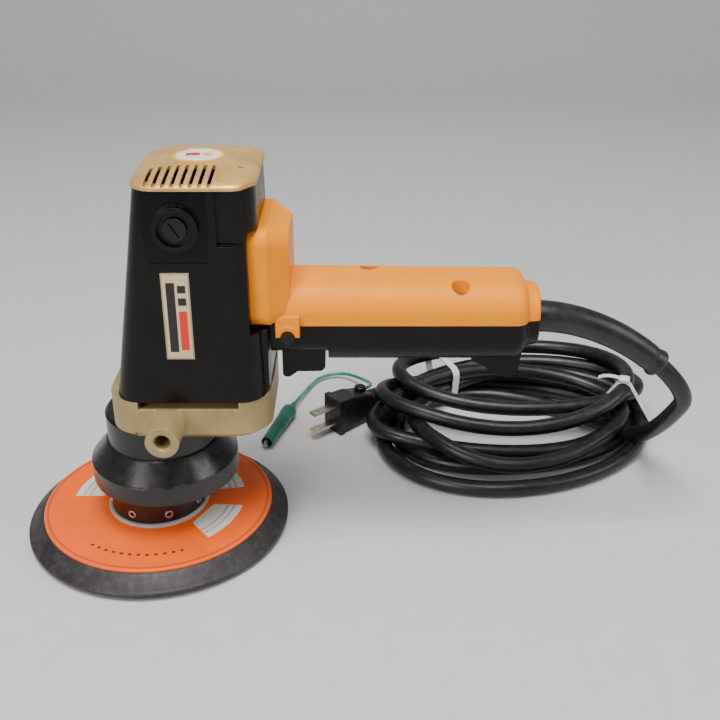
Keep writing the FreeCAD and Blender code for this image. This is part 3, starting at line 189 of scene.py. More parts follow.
def disc_print(graph, tone):
    """The orange disc: a darker rim line and an arc of plain dashes."""
    x, y, _ = graph.axes()
    radius = graph.length(x, y)
    angle = graph.math("DEGREES", graph.math("ARCTAN2", y, x))
    rim = graph.within(radius, 62.6, 64.0, 0.15)
    tone = graph.blend(graph.math("MULTIPLY", rim, 0.75), tone, (0.52, 0.06, 0.015))
    steps = graph.math("FRACT", graph.math("DIVIDE", graph.math("ADD", angle, 360.0), 5.2))
    dash = graph.both(graph.within(steps, 0.2, 0.62, 0.03), graph.within(radius, 51.5, 53.2))
    dash = graph.both(dash, graph.within(angle, -128.0, -66.0, 0.5))
    return graph.blend(dash, tone, (0.12, 0.03, 0.02))


def mark_print(graph, tone):
    """The pale marks on the disc: rows of plain grey dashes."""
    x, y, _ = graph.axes()
    radius = graph.length(x, y)
    angle = graph.math("DEGREES", graph.math("ARCTAN2", y, x))
    turn = graph.math("MULTIPLY", graph.math("ADD", angle, 360.0), 0.55)
    dashes = graph.within(graph.math("FRACT", turn), 0.15, 0.75, 0.06)
    rows = graph.math("ADD", graph.within(radius, 44.6, 46.0), graph.within(radius, 40.8, 42.4), True)
    ink = graph.math("MULTIPLY", graph.both(dashes, rows), 0.75)
    return graph.blend(ink, tone, (0.1, 0.1, 0.1))


def case_print(graph, tone):
    """The label on the case: plain bars in black and red, with a thin dark border."""
    low, high = (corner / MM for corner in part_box("case_label"))
    x, _, z = graph.axes()
    middle = (low.x + high.x) / 2
    bars = ((-4.8, -0.4, 4, 41, (0.012, 0.01, 0.01)), (0.8, 4.9, 5, 26, (0.7, 0.02, 0.01)),
            (0.8, 4.9, 29, 33, (0.012, 0.01, 0.01)), (0.8, 4.9, 35.5, 39.5, (0.012, 0.01, 0.01)))
    for left, right, base, top, colour in bars:
        mask = graph.both(graph.within(x, middle + left, middle + right),
                          graph.within(z, low.z + base, low.z + top))
        tone = graph.blend(mask, tone, colour)
    border = 0.9
    inside = graph.both(graph.within(x, low.x + border, high.x - border),
                        graph.within(z, low.z + border, high.z - border))
    edge = graph.math("MULTIPLY", graph.math("SUBTRACT", 1.0, inside), 0.5)
    return graph.blend(edge, tone, (0.12, 0.09, 0.07))


def badge_print(graph, tone):
    """The oval badge on the cover: a yellow rim and two plain bars."""
    low, high = (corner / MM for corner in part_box("top_label"))
    centre, half = (low + high) / 2, (high - low) / 2
    x, y, _ = graph.axes()
    across = graph.math("DIVIDE", graph.math("SUBTRACT", x, centre.x), half.x)
    along = graph.math("DIVIDE", graph.math("SUBTRACT", y, centre.y), half.y)
    tone = graph.blend(graph.within(graph.length(across, along), 0.86, 2.0, 0.03), tone, (0.85, 0.5, 0.05))
    for left, right, colour in ((-0.5, 0.05, (0.55, 0.02, 0.02)), (0.15, 0.5, (0.85, 0.45, 0.03))):
        mask = graph.both(graph.within(across, left, right, 0.02), graph.within(along, -0.22, 0.22, 0.03))
        tone = graph.blend(mask, tone, colour)
    return tone


def earth_print(graph, tone):
    """Green sheath with faint lighter streaks where it has been rubbed."""
    return graph.blend(graph.span(graph.noise(6, 2), 0.5, 0.62, 0.0, 0.5), tone, (0.09, 0.38, 0.2))


# --------------------------------------------------------------------------- finishes by record slot

FINISHES = {
    "hook_fabric": dict(colour=(0.012, 0.012, 0.013), rough=0.9, grain=(0.4, 0.6)),
    "pad_rubber": dict(colour=(0.022, 0.02, 0.0195), rough=0.5, grain=(0.35, 0.35), dust=0.05, mottle=0.25,
                       wear=(0.05, 0.047, 0.044), bevel=0.9),
    "orange_vinyl": dict(colour=(1.0, 0.13, 0.006), rough=0.4, grain=(0.8, 0.08), mottle=0.05,
                         paint=disc_print, specular=0.3),
    "grey_plastic": dict(colour=(0.5, 0.47, 0.44), rough=0.5, grain=(0.4, 0.2), dust=0.1),
    "hub_black": dict(colour=(0.006, 0.006, 0.0065), rough=0.32, grain=(0.3, 0.2), dust=0.06,
                      wear=(0.1, 0.1, 0.1)),
    "bearing_steel": dict(colour=(0.6, 0.6, 0.61), rough=0.22, metal=1.0, grain=(0.3, 0.08),
                          brushed=(1, 1, 9)),
    "screw_steel": dict(colour=(0.5, 0.5, 0.5), rough=0.33, metal=1.0, grain=(0.25, 0.2), mottle=0.25,
                        wear=(0.75, 0.74, 0.72)),
    "label_white": dict(colour=(0.72, 0.69, 0.62), rough=0.38, grain=(0.6, 0.05), mottle=0.05,
                        paint=mark_print),
    "case_label_film": dict(colour=(0.62, 0.48, 0.3), rough=0.32, metal=0.1, grain=(0.5, 0.06), mottle=0.07,
                            paint=case_print),
    "machined_steel": dict(colour=(0.52, 0.52, 0.53), rough=0.3, metal=1.0, grain=(0.3, 0.25),
                           brushed=(1, 1, 14)),
    "cast_weight": dict(colour=(0.16, 0.16, 0.16), rough=0.6, metal=0.7, grain=(0.7, 0.6), mottle=0.3),
    "laminations": dict(colour=(0.3, 0.3, 0.31), rough=0.45, metal=0.9, grain=(0.25, 0.5),
                        brushed=(0.2, 0.2, 6)),
    "copper": dict(colour=(0.62, 0.22, 0.09), rough=0.3, metal=1.0, grain=(0.4, 0.5), mottle=0.25,
                   brushed=(3, 3, 0.4)),
    "holder_brass": dict(colour=(0.68, 0.48, 0.16), rough=0.3, metal=1.0, grain=(0.3, 0.2)),
    "carbon": dict(colour=(0.03, 0.03, 0.03), rough=0.55, grain=(0.25, 0.4)),
    "fan_plastic": dict(colour=(0.015, 0.015, 0.016), rough=0.45, grain=(0.3, 0.3)),
    "black_plastic": dict(colour=(0.0022, 0.0022, 0.0018), rough=0.24, grain=(0.28, 0.12), mottle=0.25,
                          wear=(0.05, 0.047, 0.043), worn=0.3, specular=0.22),
    "cap_black": dict(colour=(0.005, 0.005, 0.005), rough=0.22, grain=(0.3, 0.1),
                      wear=(0.08, 0.075, 0.07), worn=0.3, specular=0.3),
    "beige_plastic": dict(colour=(0.6, 0.36, 0.11), rough=0.34, metal=0.3, grain=(0.3, 0.12), mottle=0.14,
                          dust=0.03, wear=(0.72, 0.52, 0.26), worn=0.5, specular=0.35),
    "beige_paint": dict(colour=(0.34, 0.25, 0.11), rough=0.38, metal=0.2, grain=(0.5, 0.3), mottle=0.12,
                        dust=0.03, wear=(0.6, 0.53, 0.42), worn=0.6, bevel=0.8),
    "black_enamel": dict(colour=(0.005, 0.005, 0.0055), rough=0.26, grain=(0.4, 0.2), wear=(0.2, 0.19, 0.18),
                         worn=0.4),
    "skirt_black": dict(colour=(0.0075, 0.007, 0.0072), rough=0.27, grain=(0.4, 0.12), mottle=0.3, dust=0.02,
                        wear=(0.1, 0.1, 0.1), worn=0.35, bevel=0.9, coat=0.15),
    "yellow_plastic": dict(colour=(0.93, 0.29, 0.0), rough=0.36, grain=(0.35, 0.08), mottle=0.03,
                           wear=(0.85, 0.36, 0.03), worn=0.25, specular=0.12, bevel=0.8),
    "boot_rubber": dict(colour=(0.012, 0.0115, 0.0115), rough=0.34, grain=(0.5, 0.25), mottle=0.3, dust=0.03),
    "cord_rubber": dict(colour=(0.0055, 0.0055, 0.0053), rough=0.36, grain=(0.7, 0.25), mottle=0.35,
                        dust=0.03),
    "tie_plastic": dict(colour=(0.72, 0.73, 0.74), rough=0.36, grain=(0.5, 0.12), mottle=0.06, dust=0.04),
    "plug_plastic": dict(colour=(0.009, 0.0085, 0.0085), rough=0.32, grain=(0.5, 0.2), dust=0.05,
                         wear=(0.08, 0.075, 0.07)),
    "blade_metal": dict(colour=(0.68, 0.6, 0.48), rough=0.28, metal=1.0, grain=(0.3, 0.15),
                        brushed=(0.3, 0.3, 3)),
    "earth_sheath": dict(colour=(0.012, 0.2, 0.12), rough=0.36, grain=(0.5, 0.1), paint=earth_print),
    "clip_steel": dict(colour=(0.6, 0.58, 0.55), rough=0.3, metal=1.0, grain=(0.3, 0.2), mottle=0.2),
    "green_rubber": dict(colour=(0.004, 0.1, 0.058), rough=0.34, grain=(0.6, 0.15), mottle=0.2, dust=0.02),
}

MATERIALS = {slot: shade(slot + "_finish", **settings) for slot, settings in FINISHES.items()}
MATERIALS["top_badge"] = shade("top_badge_finish", (0.82, 0.8, 0.75), 0.3, grain=(0.6, 0.04), mottle=0.04,
                               paint=badge_print)


def finish_nodes():
    """Gives every node of the frame the finish of its record slot."""
    for part in frame["record"]["subparts"]:
        node = NODES[part["node"]]
        slot = "top_badge" if part["node"] == "top_label" else part["material_slot"]
        node.data.materials.clear()
        node.data.materials.append(MATERIALS[slot])


# --------------------------------------------------------------------------- making pieces

def piece(name, points, faces, slot, body, replaced=(), smooth=40):
    """A mesh piece from points in millimetres, finished, riding on a body."""
    mesh = bpy.data.meshes.new(name)
    mesh.from_pydata([Vector(point) * MM for point in points], [], faces)
    mesh.validate()
    mesh.update()
    for polygon in mesh.polygons:
        polygon.use_smooth = True
    mesh.set_sharp_from_angle(angle=math.radians(smooth))
    thing = bpy.data.objects.new(name, mesh)
    bpy.context.scene.collection.objects.link(thing)
    mesh.materials.append(MATERIALS[slot])
    if body:
        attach(thing, body)
    if replaced:
        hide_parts(*replaced)
    return thing


def ring_faces(rings, count, closed=False, first_cap=False, last_cap=False):
    """Quads between neighbouring rings of count points."""
    faces = []
    for ring in range(rings if closed else rings - 1):
        base, upper = ring * count, (ring + 1) % rings * count
        for i in range(count):
            j = (i + 1) % count
            faces.append((base + i, base + j, upper + j, upper + i))
    if first_cap:
        faces.append(tuple(reversed(range(count))))
    if last_cap:
        faces.append(tuple(range((rings - 1) * count, rings * count)))
    return faces


def lathe(profile, centre=(0, 0), count=96, wobble=None):
    """Points and faces of (radius, height) pairs turned about a vertical line."""
    points = []
    for index, (radius, height) in enumerate(profile):
        for i in range(count):
            turn = 2 * math.pi * i / count
            reach = radius + (wobble(index, turn) if wobble else 0)
            points.append((centre[0] + reach * math.cos(turn), centre[1] + reach * math.sin(turn), height))
    return points, ring_faces(len(profile), count)


def frames_along(points):
    """(point, side, upward) along a line, without twist."""
    frames, side = [], None
    for index, point in enumerate(points):
        heading = (points[min(index + 1, len(points) - 1)] - points[max(index - 1, 0)]).normalized()
        side = heading.orthogonal() if side is None else side - heading * side.dot(heading)
        side = side.normalized()
        frames.append((point, side, heading.cross(side)))
    return frames


def sweep(points, radii, count=32):
    """A closed round body along a line, with its own radius at each point."""
    verts = []
    for (point, side, upward), radius in zip(frames_along(points), radii):
        for i in range(count):
            turn = 2 * math.pi * i / count
            verts.append(point + (side * math.cos(turn) + upward * math.sin(turn)) * radius)
    return verts, ring_faces(len(points), count, first_cap=True, last_cap=True)


# --------------------------------------------------------------------------- camera, light and floor

def camera():
    """The viewing angle: from the front, a little above, with the pad near the lower left."""
    data = bpy.data.cameras.new("camera")
    data.lens, data.sensor_width = 50.45, 36.0
    data.clip_start, data.clip_end = 0.02, 20
    view = bpy.data.objects.new("camera", data)
    view.location = (0.1175, -0.4883, 0.3583)
    view.rotation_euler = (math.radians(90 - 27.4), 0, 0)
    bpy.context.scene.collection.objects.link(view)
    bpy.context.scene.camera = view


def lamp(name, spot, aim, size, power, tint=(1, 1, 1)):
    """A square soft light at spot, turned towards aim."""
    data = bpy.data.lights.new(name, "AREA")
    data.shape, data.size, data.energy, data.color = "SQUARE", size, power, tint
    light = bpy.data.objects.new(name, data)
    light.location = spot
    light.rotation_euler = (Vector(aim) - Vector(spot)).to_track_quat("-Z", "Y").to_euler()
    bpy.context.scene.collection.objects.link(light)


def studio():
    """Soft overhead light, a cool fill and a pale floor that turns up behind."""
    world = bpy.data.worlds.new("studio")
    bpy.context.scene.world = world
    world.use_nodes = True
    world.node_tree.nodes["Background"].inputs["Color"].default_value = (0.9, 0.95, 1.0, 1)
    world.node_tree.nodes["Background"].inputs["Strength"].default_value = 0.22
    lamp("overhead", (0.05, -0.35, 1.4), (0.1, 0.05, 0.05), 0.8, 27, (1.0, 0.98, 0.95))
    lamp("front_fill", (-0.8, -1.2, 0.7), (0.05, 0, 0.1), 0.6, 12, (1.0, 0.97, 0.93))
    lamp("right_fill", (1.3, -0.3, 0.8), (0.1, 0.05, 0.1), 0.7, 6, (0.94, 0.97, 1.0))

    turn, back, radius = 10, 1.1, 0.6
    rows = [(-2.5, 0.0), (back - 0.4, 0.0)]
    for i in range(turn + 1):
        angle = math.pi / 2 * i / turn
        rows.append((back + radius * math.sin(angle), radius * (1 - math.cos(angle))))
    rows.append((back + radius, 2.6))
    verts = [(x, y, z) for y, z in rows for x in (-3.0, 3.2)]
    faces = [(2 * i, 2 * i + 1, 2 * i + 3, 2 * i + 2) for i in range(len(rows) - 1)]
    mesh = bpy.data.meshes.new("floor")
    mesh.from_pydata(verts, [], faces)
    for polygon in mesh.polygons:
        polygon.use_smooth = True
    floor = bpy.data.objects.new("floor", mesh)
    bpy.context.scene.collection.objects.link(floor)
    mesh.materials.append(shade("floor_finish", (0.6, 0.6, 0.59), 0.75, mottle=0.015, grain=(1.5, 0.05),
                                specular=0.2))


# --------------------------------------------------------------------------- the mains cord

CORD_RADIUS = 5.0
BOOT_START, BOOT_LEVEL, BOOT_REACH = 198.0, 132.0, 76.5
BOOT_WIDE, BOOT_THIN, BOOT_SWING = 8.55, 7.2, math.radians(42)
PLUG_AXIS = Vector((math.cos(math.radians(39.7)), math.sin(math.radians(39.7)), 0))
PLUG_FACE = Vector((99, 98, 13.2))

# Where each strand of the coil lies as it passes the back, left, front and right of the bundle,
# in the order in which the cord runs through them.
BACK = [(212, 146, 8), (226, 166, 6), (228, 157, 14), (226, 147, 19), (224, 154, 5), (238, 178, 25),
        (232, 169, 20)]
LEFT = [(134, 104, 6), (131, 82, 5), (148, 100, 15), (119, 86, 13), (130, 99, 19), (138, 132, 26)]
FRONT = [(205, 43, 9), (202, 17, 5), (205, 31, 5), (200, 56, 7), (213, 64, 15), (213, 87, 21)]
RIGHT = [(303, 108, 7), (311, 110, 15), (300, 104, 17), (291, 104, 7), (303, 116, 26), (314, 114, 24)]


def boot_path(steps=8):
    """Points on the middle of the boot with the direction at each, bending down towards its tip."""
    point = Vector((212, 0, BOOT_LEVEL))
    path = [(Vector((BOOT_START, 0, BOOT_LEVEL)), Vector((1, 0, 0))), (point.copy(), Vector((1, 0, 0)))]
    for i in range(1, steps + 1):
        middle, end = [BOOT_SWING * (share / steps) ** 0.8 for share in (i - 0.5, i)]
        point = point + Vector((math.cos(middle), 0, -math.sin(middle))) * BOOT_REACH / steps
        path.append((point.copy(), Vector((math.cos(end), 0, -math.sin(end)))))
    return path


def quarter(start, end, from_side, steps=4):
    """Points from start towards end along a quarter oval, rising or falling evenly."""
    points = []
    for step in range(steps):
        share = step / steps
        turn = share * math.pi / 2
        near, far = math.cos(turn), math.sin(turn)
        ease = (1 - math.cos(math.pi * share)) / 2
        across = end[0] + (start[0] - end[0]) * near if from_side else start[0] + (end[0] - start[0]) * far
        along = start[1] + (end[1] - start[1]) * far if from_side else end[1] + (start[1] - end[1]) * near
        points.append(Vector((across, along, start[2] + (end[2] - start[2]) * ease)))
    return points


def coil_turns():
    """The cord's path through the coil, strand by strand."""
    points = []
    for i in range(len(FRONT)):
        points += quarter(BACK[i], LEFT[i], False)
        points += quarter(LEFT[i], FRONT[i], True)
        points += quarter(FRONT[i], RIGHT[i], False)
        points += quarter(RIGHT[i], BACK[i + 1], True)
    return points + [Vector(BACK[-1])]


def weights(count, per_span=6):
    """How much each control point counts at samples along the line it steers."""
    rows = []
    for i in range(1, count - 1):
        for step in range(per_span):
            t = step / per_span
            row = np.zeros(count)
            row[i - 1:i + 2] = ((1 - t) ** 2 / 2, (1 + 2 * t - 2 * t * t) / 2, t * t / 2)
            rows.append(row)
    return np.array(rows)


def settle(points, held_first, held_last, rounds=160):
    """Moves strands apart until they lie on each other and on the floor without overlapping."""
    start = np.array([tuple(point) for point in points])
    line = start.copy()
    share = weights(len(points))
    free = np.ones(len(points))
    free[:held_first] = 0
    free[len(points) - held_last:] = 0
    pull = share / np.maximum(share.sum(0), 1e-9)
    order = np.arange(len(share))
    apart = np.abs(order[:, None] - order[None, :]) > 14
    gap = 2 * CORD_RADIUS + 0.3
    for _ in range(rounds):
        samples = share @ line
        offset = samples[:, None] - samples[None, :]
        distance = np.sqrt((offset ** 2).sum(2)) + 1e-6
        close = (distance < gap) & apart
        push = np.where(close, (gap - distance) / distance, 0.0)
        move = (push[:, :, None] * offset).sum(1) / np.maximum(close.sum(1), 1)[:, None]
        change = pull.T @ move * 0.9
        bend = np.zeros_like(line)
        bend[1:-1] = (line[:-2] + line[2:]) / 2 - line[1:-1]
        third = np.zeros_like(line)
        third[1:-1] = (bend[:-2] + bend[2:]) / 2 - bend[1:-1]
        line += (change - 0.12 * third + 0.012 * (start - line)) * free[:, None]
        line[:, 2] = np.maximum(line[:, 2], CORD_RADIUS + 0.05)
    return [Vector(point) for point in line]


def cord_curve(name, points, radius, slot):
    """A round cord on a smooth line steered by points."""
    data = bpy.data.curves.new(name, "CURVE")
    data.dimensions = "3D"
    data.bevel_depth = 1.0
    data.bevel_resolution = 6
    data.use_fill_caps = True
    spline = data.splines.new("NURBS")
    spline.points.add(len(points) - 1)
    for knot, point in zip(spline.points, points):
        knot.co = (*(Vector(point) * MM), 1)
        knot.radius = radius * MM
    spline.order_u = 3
    spline.use_endpoint_u = True
    spline.resolution_u = 10
    data.materials.append(MATERIALS[slot])
    thing = bpy.data.objects.new(name, data)
    bpy.context.scene.collection.objects.link(thing)
    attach(thing, "machine")
    return thing


def centre_line(curve):
    """Points in millimetres along a cord's middle."""
    depth = curve.data.bevel_depth
    curve.data.bevel_depth = 0
    bare = curve.data.copy()
    curve.data.bevel_depth = depth
    probe = bpy.data.objects.new("probe", bare)
    mesh = bpy.data.meshes.new_from_object(probe)
    points = [vertex.co / MM for vertex in mesh.vertices]
    bpy.data.objects.remove(probe)
    bpy.data.curves.remove(bare)
    bpy.data.meshes.remove(mesh)
    return points


def line_length(points):
    return sum((b - a).length for a, b in zip(points, points[1:]))


def mains_cord():
    """The lead from the boot, the coil and the end that runs into the plug."""
    tip, heading = boot_path()[-1]
    lead = [tip, tip + heading * 27, Vector((299, 20, 58)), Vector((299, 46, 33)), Vector((297, 70, 13)),
            Vector((281, 92, 8.5)), Vector((260, 116, 6)), Vector((240, 134, 6))]
    end = [PLUG_FACE + PLUG_AXIS * reach for reach in (40, 33)]
    approach = PLUG_FACE + PLUG_AXIS * 66 + Vector((0, 0, -3.5))
    tail = [Vector((200, 170, 15)), Vector((174, 159, 9)), approach, *end]
    points = settle(lead + coil_turns() + tail, 6, 3)
    cord = cord_curve("mains_cord", points, CORD_RADIUS, "cord_rubber")
    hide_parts("cord_lead", "cord_coil")
    return cord, tip


def outline_round(spots, radius, count=28):
    """The convex outline, anticlockwise, of circles of that radius round flat spots."""
    ring = sorted({(round(u + radius * math.cos(2 * math.pi * i / count), 4),
                    round(v + radius * math.sin(2 * math.pi * i / count), 4))
                   for u, v in spots for i in range(count)})
    hull = []
    for direction in (ring, ring[::-1]):
        start = len(hull)
        for p in direction:
            while len(hull) - start >= 2:
                (ax, ay), (bx, by) = hull[-2], hull[-1]
                if (bx - ax) * (p[1] - ay) - (by - ay) * (p[0] - ax) > 0:
                    break
                hull.pop()
            hull.append(p)
        hull.pop()
    return hull


def tie(name, line, middle, across):
    """A flat tie drawn round every strand that crosses the plane through middle."""
    across = Vector(across).normalized()
    along = Vector((0, 0, 1)).cross(across)
    spots = []
    for a, b in zip(line, line[1:]):
        before, after = (a - middle).dot(along), (b - middle).dot(along)
        if before * after <= 0 and before != after:
            point = a.lerp(b, before / (before - after)) - middle
            if abs(point.dot(across)) < 32:
                spots.append((point.dot(across), point.z + middle.z))
    inner, outer = outline_round(spots, CORD_RADIUS + 0.25), outline_round(spots, CORD_RADIUS + 1.15)
    half, verts = 2.4, []
    for (u, v) in outer:
        near = min(inner, key=lambda p: (p[0] - u) ** 2 + (p[1] - v) ** 2)
        for (x, z), edge in (((u, v), -half), ((u, v), half), (near, half), (near, -half)):
            verts.append(middle + across * x + along * edge + Vector((0, 0, max(z, 0.05) - middle.z)))
    faces = ring_faces(len(outer), 4, closed=True)
    band = piece(name, verts, faces, "tie_plastic", "machine")
    return band, spots


# --------------------------------------------------------------------------- soft and sprung pieces

def smooth_points(points, count):
    """Evenly spaced points along a broken line."""
    reach = [0.0]
    for a, b in zip(points, points[1:]):
        reach.append(reach[-1] + (b - a).length)
    spots, leg = [], 0
    for i in range(count):
        at = reach[-1] * i / (count - 1)
        while leg < len(points) - 2 and reach[leg + 1] < at:
            leg += 1
        spots.append(points[leg].lerp(points[leg + 1], (at - reach[leg]) / (reach[leg + 1] - reach[leg])))
    return spots


def cord_boot():
    """The tapered rubber boot, with a shallow step near the handle and a rolled lip at its tip."""
    guide = cord_curve("boot_line", [point for point, _ in boot_path()], 1, "boot_rubber")
    line = smooth_points(centre_line(guide), 90)
    bpy.data.objects.remove(guide)
    radii = []
    for i in range(len(line)):
        share = i / (len(line) - 1)
        radius = BOOT_WIDE + (BOOT_THIN - BOOT_WIDE) * max(0.0, (share - 0.15) / 0.85)
        lip = math.exp(-((share - 0.975) / 0.02) ** 2)
        crease = math.exp(-((share - 0.93) / 0.012) ** 2)
        radii.append(radius + 0.85 * lip - 0.25 * crease)
    radii[-1] = BOOT_THIN - 0.6
    verts, faces = sweep(line, radii, 40)
    return piece("cord_boot_rubber", verts, faces, "boot_rubber", "machine", ["cord_boot"], 60)


def plug_relief():
    """The ribbed sleeve where the cord enters the plug."""
    line = [PLUG_FACE + PLUG_AXIS * (30 + 0.2 * i) for i in range(51)]
    radii = [6.85 - 0.015 * i - (0.65 if 10 <= i % 16 <= 13 else 0.0) for i in range(51)]
    radii[-1] = 5.3
    verts, faces = sweep(line, radii, 40)
    return piece("plug_sleeve", verts, faces, "plug_plastic", "machine", ["plug_relief"], 50)


def pad_cushion():
    """The firm foam pad, its edge rounded by use and a moulded line round its side."""
    profile = [(0.5, 1.5), (60, 1.5), (72.6, 1.55), (74.2, 2.1), (74.9, 3.1), (74.9, 4.2), (74.4, 4.9),
               (73.9, 5.15), (73.0, 6.05), (71.4, 7.5), (69.4, 9.2), (67.4, 10.8), (66.3, 11.6),
               (65.2, 11.95), (60, 11.98), (9.0, 11.98), (8.9, 6.1), (0.5, 6.1)]
    points, faces = lathe(profile, count=180, wobble=lambda index, turn: 0.06 * math.sin(5 * turn + index)
                          if 3 <= index <= 12 else 0.0)
    return piece("pad_foam", points, faces, "pad_rubber", "pad", ["pad_cushion"], 35)


def hook_face():
    """The hook side of the pad's fastening: a thin backing covered in small bent hooks."""
    verts, faces = lathe([(0.5, 0.75), (71.2, 0.75), (71.9, 0.9), (71.9, 1.48), (0.5, 1.48)], count=120)
    step = 2.3
    shape = [(0.0, 0.75), (0.0, 0.35), (0.18, 0.08), (0.5, 0.05), (0.7, 0.25)]
    rows = int(70 / step)
    for row in range(-rows, rows + 1):
        for column in range(-rows, rows + 1):
            x, y = step * (column + 0.5 * (row % 2)), step * row
            if x * x + y * y > 70 ** 2:
                continue
            side = 1 if (row + column) % 2 else -1
            base = len(verts)
            for reach, height in shape:
                for across in (-0.14, 0.14):
                    verts.append((x + side * reach, y + across, height))
            for i in range(len(shape) - 1):
                a = base + 2 * i
                faces.append((a, a + 1, a + 3, a + 2))
    return piece("hook_fastening", verts, faces, "hook_fabric", "pad", ["hook_face"], 60)


def trigger_spring():
    """The trigger's return spring, made at one fixed length; on the tool it shortens as the trigger goes up.
    """
    low, high, turns, steps = 116.0, 128.6, 7, 20
    line = []
    for i in range(turns * steps + 1):
        turn = 2 * math.pi * i / steps
        line.append(Vector((86 + 2.6 * math.cos(turn), 2.6 * math.sin(turn),
                            low + 0.45 + (high - low - 0.9) * i / (turns * steps))))
    verts, faces = sweep(line, [0.4] * len(line), 8)
    spring = piece("trigger_coil_spring", verts, faces, "bearing_steel", "machine", ["trigger_spring"])
    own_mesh(spring)
    return spring


CLIP_TAIL = Vector((71.4, 125.7, 5.4))
CLIP_HEADING = math.radians(253.5)


def clip_spot(reach, side=0.0, height=0.0):
    """A point of the clip, measured from its tail along it, to its left and up."""
    along = Vector((math.cos(CLIP_HEADING), math.sin(CLIP_HEADING), 0))
    left = Vector((-along.y, along.x, 0))
    return CLIP_TAIL + along * reach + left * side + Vector((0, 0, height))


def clip_sleeve():
    """The clip's soft sleeve with its ribbed grip, and the collar that holds the wire."""
    outside = [(10.1, 4.9), (12, 5.3), (14, 5.25), (15, 4.9), (16, 5.15), (17, 4.8), (18, 5.05), (19, 4.7),
               (20, 4.95), (24, 4.75), (36, 4.35), (48, 4.05), (52.6, 3.95), (53, 3.8)]
    inside = [(53, 3.25), (36, 3.6), (20, 4.05), (12, 4.35), (10.1, 4.2)]
    verts = []
    for reach, radius in outside + inside:
        for i in range(36):
            turn = 2 * math.pi * i / 36
            verts.append(clip_spot(reach, radius * math.cos(turn), radius * math.sin(turn)))
    faces = ring_faces(len(outside + inside), 36, closed=True)
    sleeve = piece("clip_sleeve", verts, faces, "green_rubber", None, ["clip_boot"], 50)
    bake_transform(sleeve)
    reaches = [0, 0.4, 3, 5.5, 6, 7, 8.6, 9.6, 9.9]
    radii = [1.6, 1.9, 2.1, 2.45, 2.9, 3.3, 4.3, 5.0, 4.6]
    verts, faces = sweep([clip_spot(reach) for reach in reaches], radii, 36)
    return sleeve, piece("clip_collar", verts, faces, "green_rubber", "machine", (), 50)


def earth_wire():
    """The thin green lead from the back of the plug to the clip."""
    back = PLUG_FACE + PLUG_AXIS * 30 + Vector((-PLUG_AXIS.y, PLUG_AXIS.x, 0)) * 6.3
    start = Vector((back.x, back.y, 19.4))
    points = [start, start + PLUG_AXIS * 13 + Vector((0, 0, -2)), Vector((120, 157, 8)),
              Vector((106, 175, 4)), Vector((88, 171, 3)), Vector((78.5, 150, 3)), CLIP_TAIL]
    wire = cord_curve("earth_lead", points, 1.2, "earth_sheath")
    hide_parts("ground_wire")
    return wire, start


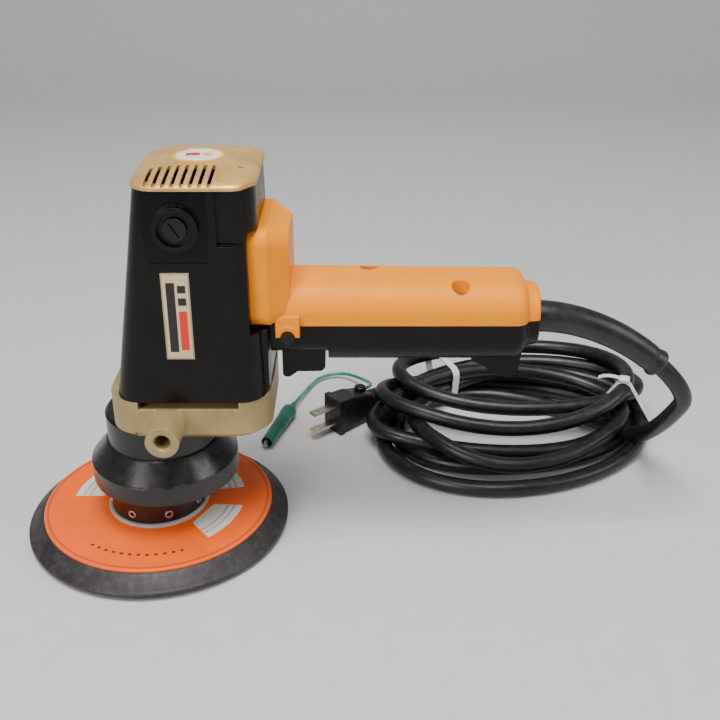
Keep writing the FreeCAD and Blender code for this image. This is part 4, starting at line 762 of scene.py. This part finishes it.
def tie_lock(name, middle, across, spots, side):
    """The square lock of a tie with the short cut end of its strap, on top of the bundle."""
    across = Vector(across).normalized()
    along = Vector((0, 0, 1)).cross(across)
    top = max(v for u, v in spots if abs(u) < 30) + CORD_RADIUS + 1.2
    near = max(spots, key=lambda spot: spot[1])[0]
    centre = middle + across * near
    centre.z = top + 1.2
    corners = ((-1, -0.8), (-0.8, -1), (0.8, -1), (1, -0.8), (1, 0.8), (0.8, 1), (-0.8, 1), (-1, 0.8))
    rows = []
    for lift, grow in ((-1.5, 0.0), (-1.2, 0.35), (1.0, 0.35), (1.5, -0.2)):
        rows.append([centre + across * (u * (3.1 + grow)) + along * (v * (2.6 + grow)) + Vector((0, 0, lift))
                     for u, v in corners])
    verts = [point for row in rows for point in row]
    faces = ring_faces(4, 8, first_cap=True, last_cap=True)
    base = len(verts)
    tail = [(2.6, 0.2), (6, 0.9), (10, 1.0), (14, 0.2), (17, -1.4)]
    for reach, lift in tail:
        for half in (-1.9, 1.9):
            for thick in (-0.35, 0.35):
                verts.append(centre + across * (side * reach) + along * half + Vector((0, 0, lift + thick)))
    for i in range(len(tail) - 1):
        a, b = base + 4 * i, base + 4 * (i + 1)
        faces += [(a, a + 2, b + 2, b), (a + 1, b + 1, b + 3, a + 3), (a, b, b + 1, a + 1),
                  (a + 2, a + 3, b + 3, b + 2)]
    faces.append((base, base + 1, base + 3, base + 2))
    end = base + 4 * (len(tail) - 1)
    faces.append((end, end + 2, end + 3, end + 1))
    return piece(name, verts, faces, "tie_plastic", "machine", (), 50)


def hub_eyelets():
    """Bright rings round the hub's radial holes."""
    hub_radius, hole_height = 27, 20.5
    verts, faces = [], []
    for hole in range(8):
        heading = math.radians(22.5 + 45 * hole)
        outward = Vector((math.cos(heading), math.sin(heading), 0))
        aside = Vector((-outward.y, outward.x, 0))
        base, count = len(verts), 24
        rings = [(1.35, -1.0), (1.35, 0.35), (1.7, 0.5), (2.4, 0.35), (2.5, -0.6)]
        for radius, lift in rings:
            for i in range(count):
                turn = 2 * math.pi * i / count
                verts.append(outward * (hub_radius + lift) + aside * (radius * math.cos(turn))
                             + Vector((0, 0, hole_height + radius * math.sin(turn))))
        faces += [tuple(base + i for i in face) for face in ring_faces(len(rings), count, closed=True)]
    return piece("hub_eyelets", verts, faces, "screw_steel", "pad", (), 50)


# --------------------------------------------------------------------------- assembly

finish_nodes()
camera()
studio()
cord, cord_exit = mains_cord()
cord_line = centre_line(cord)
LEFT_TIE, LEFT_ACROSS = Vector((180, 138, 15)), (-0.45, 0.89, 0)
RIGHT_TIE, RIGHT_ACROSS = Vector((301, 96, 15)), (0.95, -0.3, 0)
left_tie, left_spots = tie("left_tie", cord_line, LEFT_TIE, LEFT_ACROSS)
right_tie, right_spots = tie("right_tie", cord_line, RIGHT_TIE, RIGHT_ACROSS)
left_lock = tie_lock("left_tie_lock", LEFT_TIE, LEFT_ACROSS, left_spots, -1)
right_lock = tie_lock("right_tie_lock", RIGHT_TIE, RIGHT_ACROSS, right_spots, -1)
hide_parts("cord_ties")
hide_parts("cord_ties")
boot = cord_boot()
sleeve = plug_relief()

wire, wire_exit = earth_wire()
clip_cover, clip_collar = clip_sleeve()
round(line_length(centre_line(wire)) * MM, 3)

pad_cushion()
hook_face()
trigger_spring()
hub_eyelets()
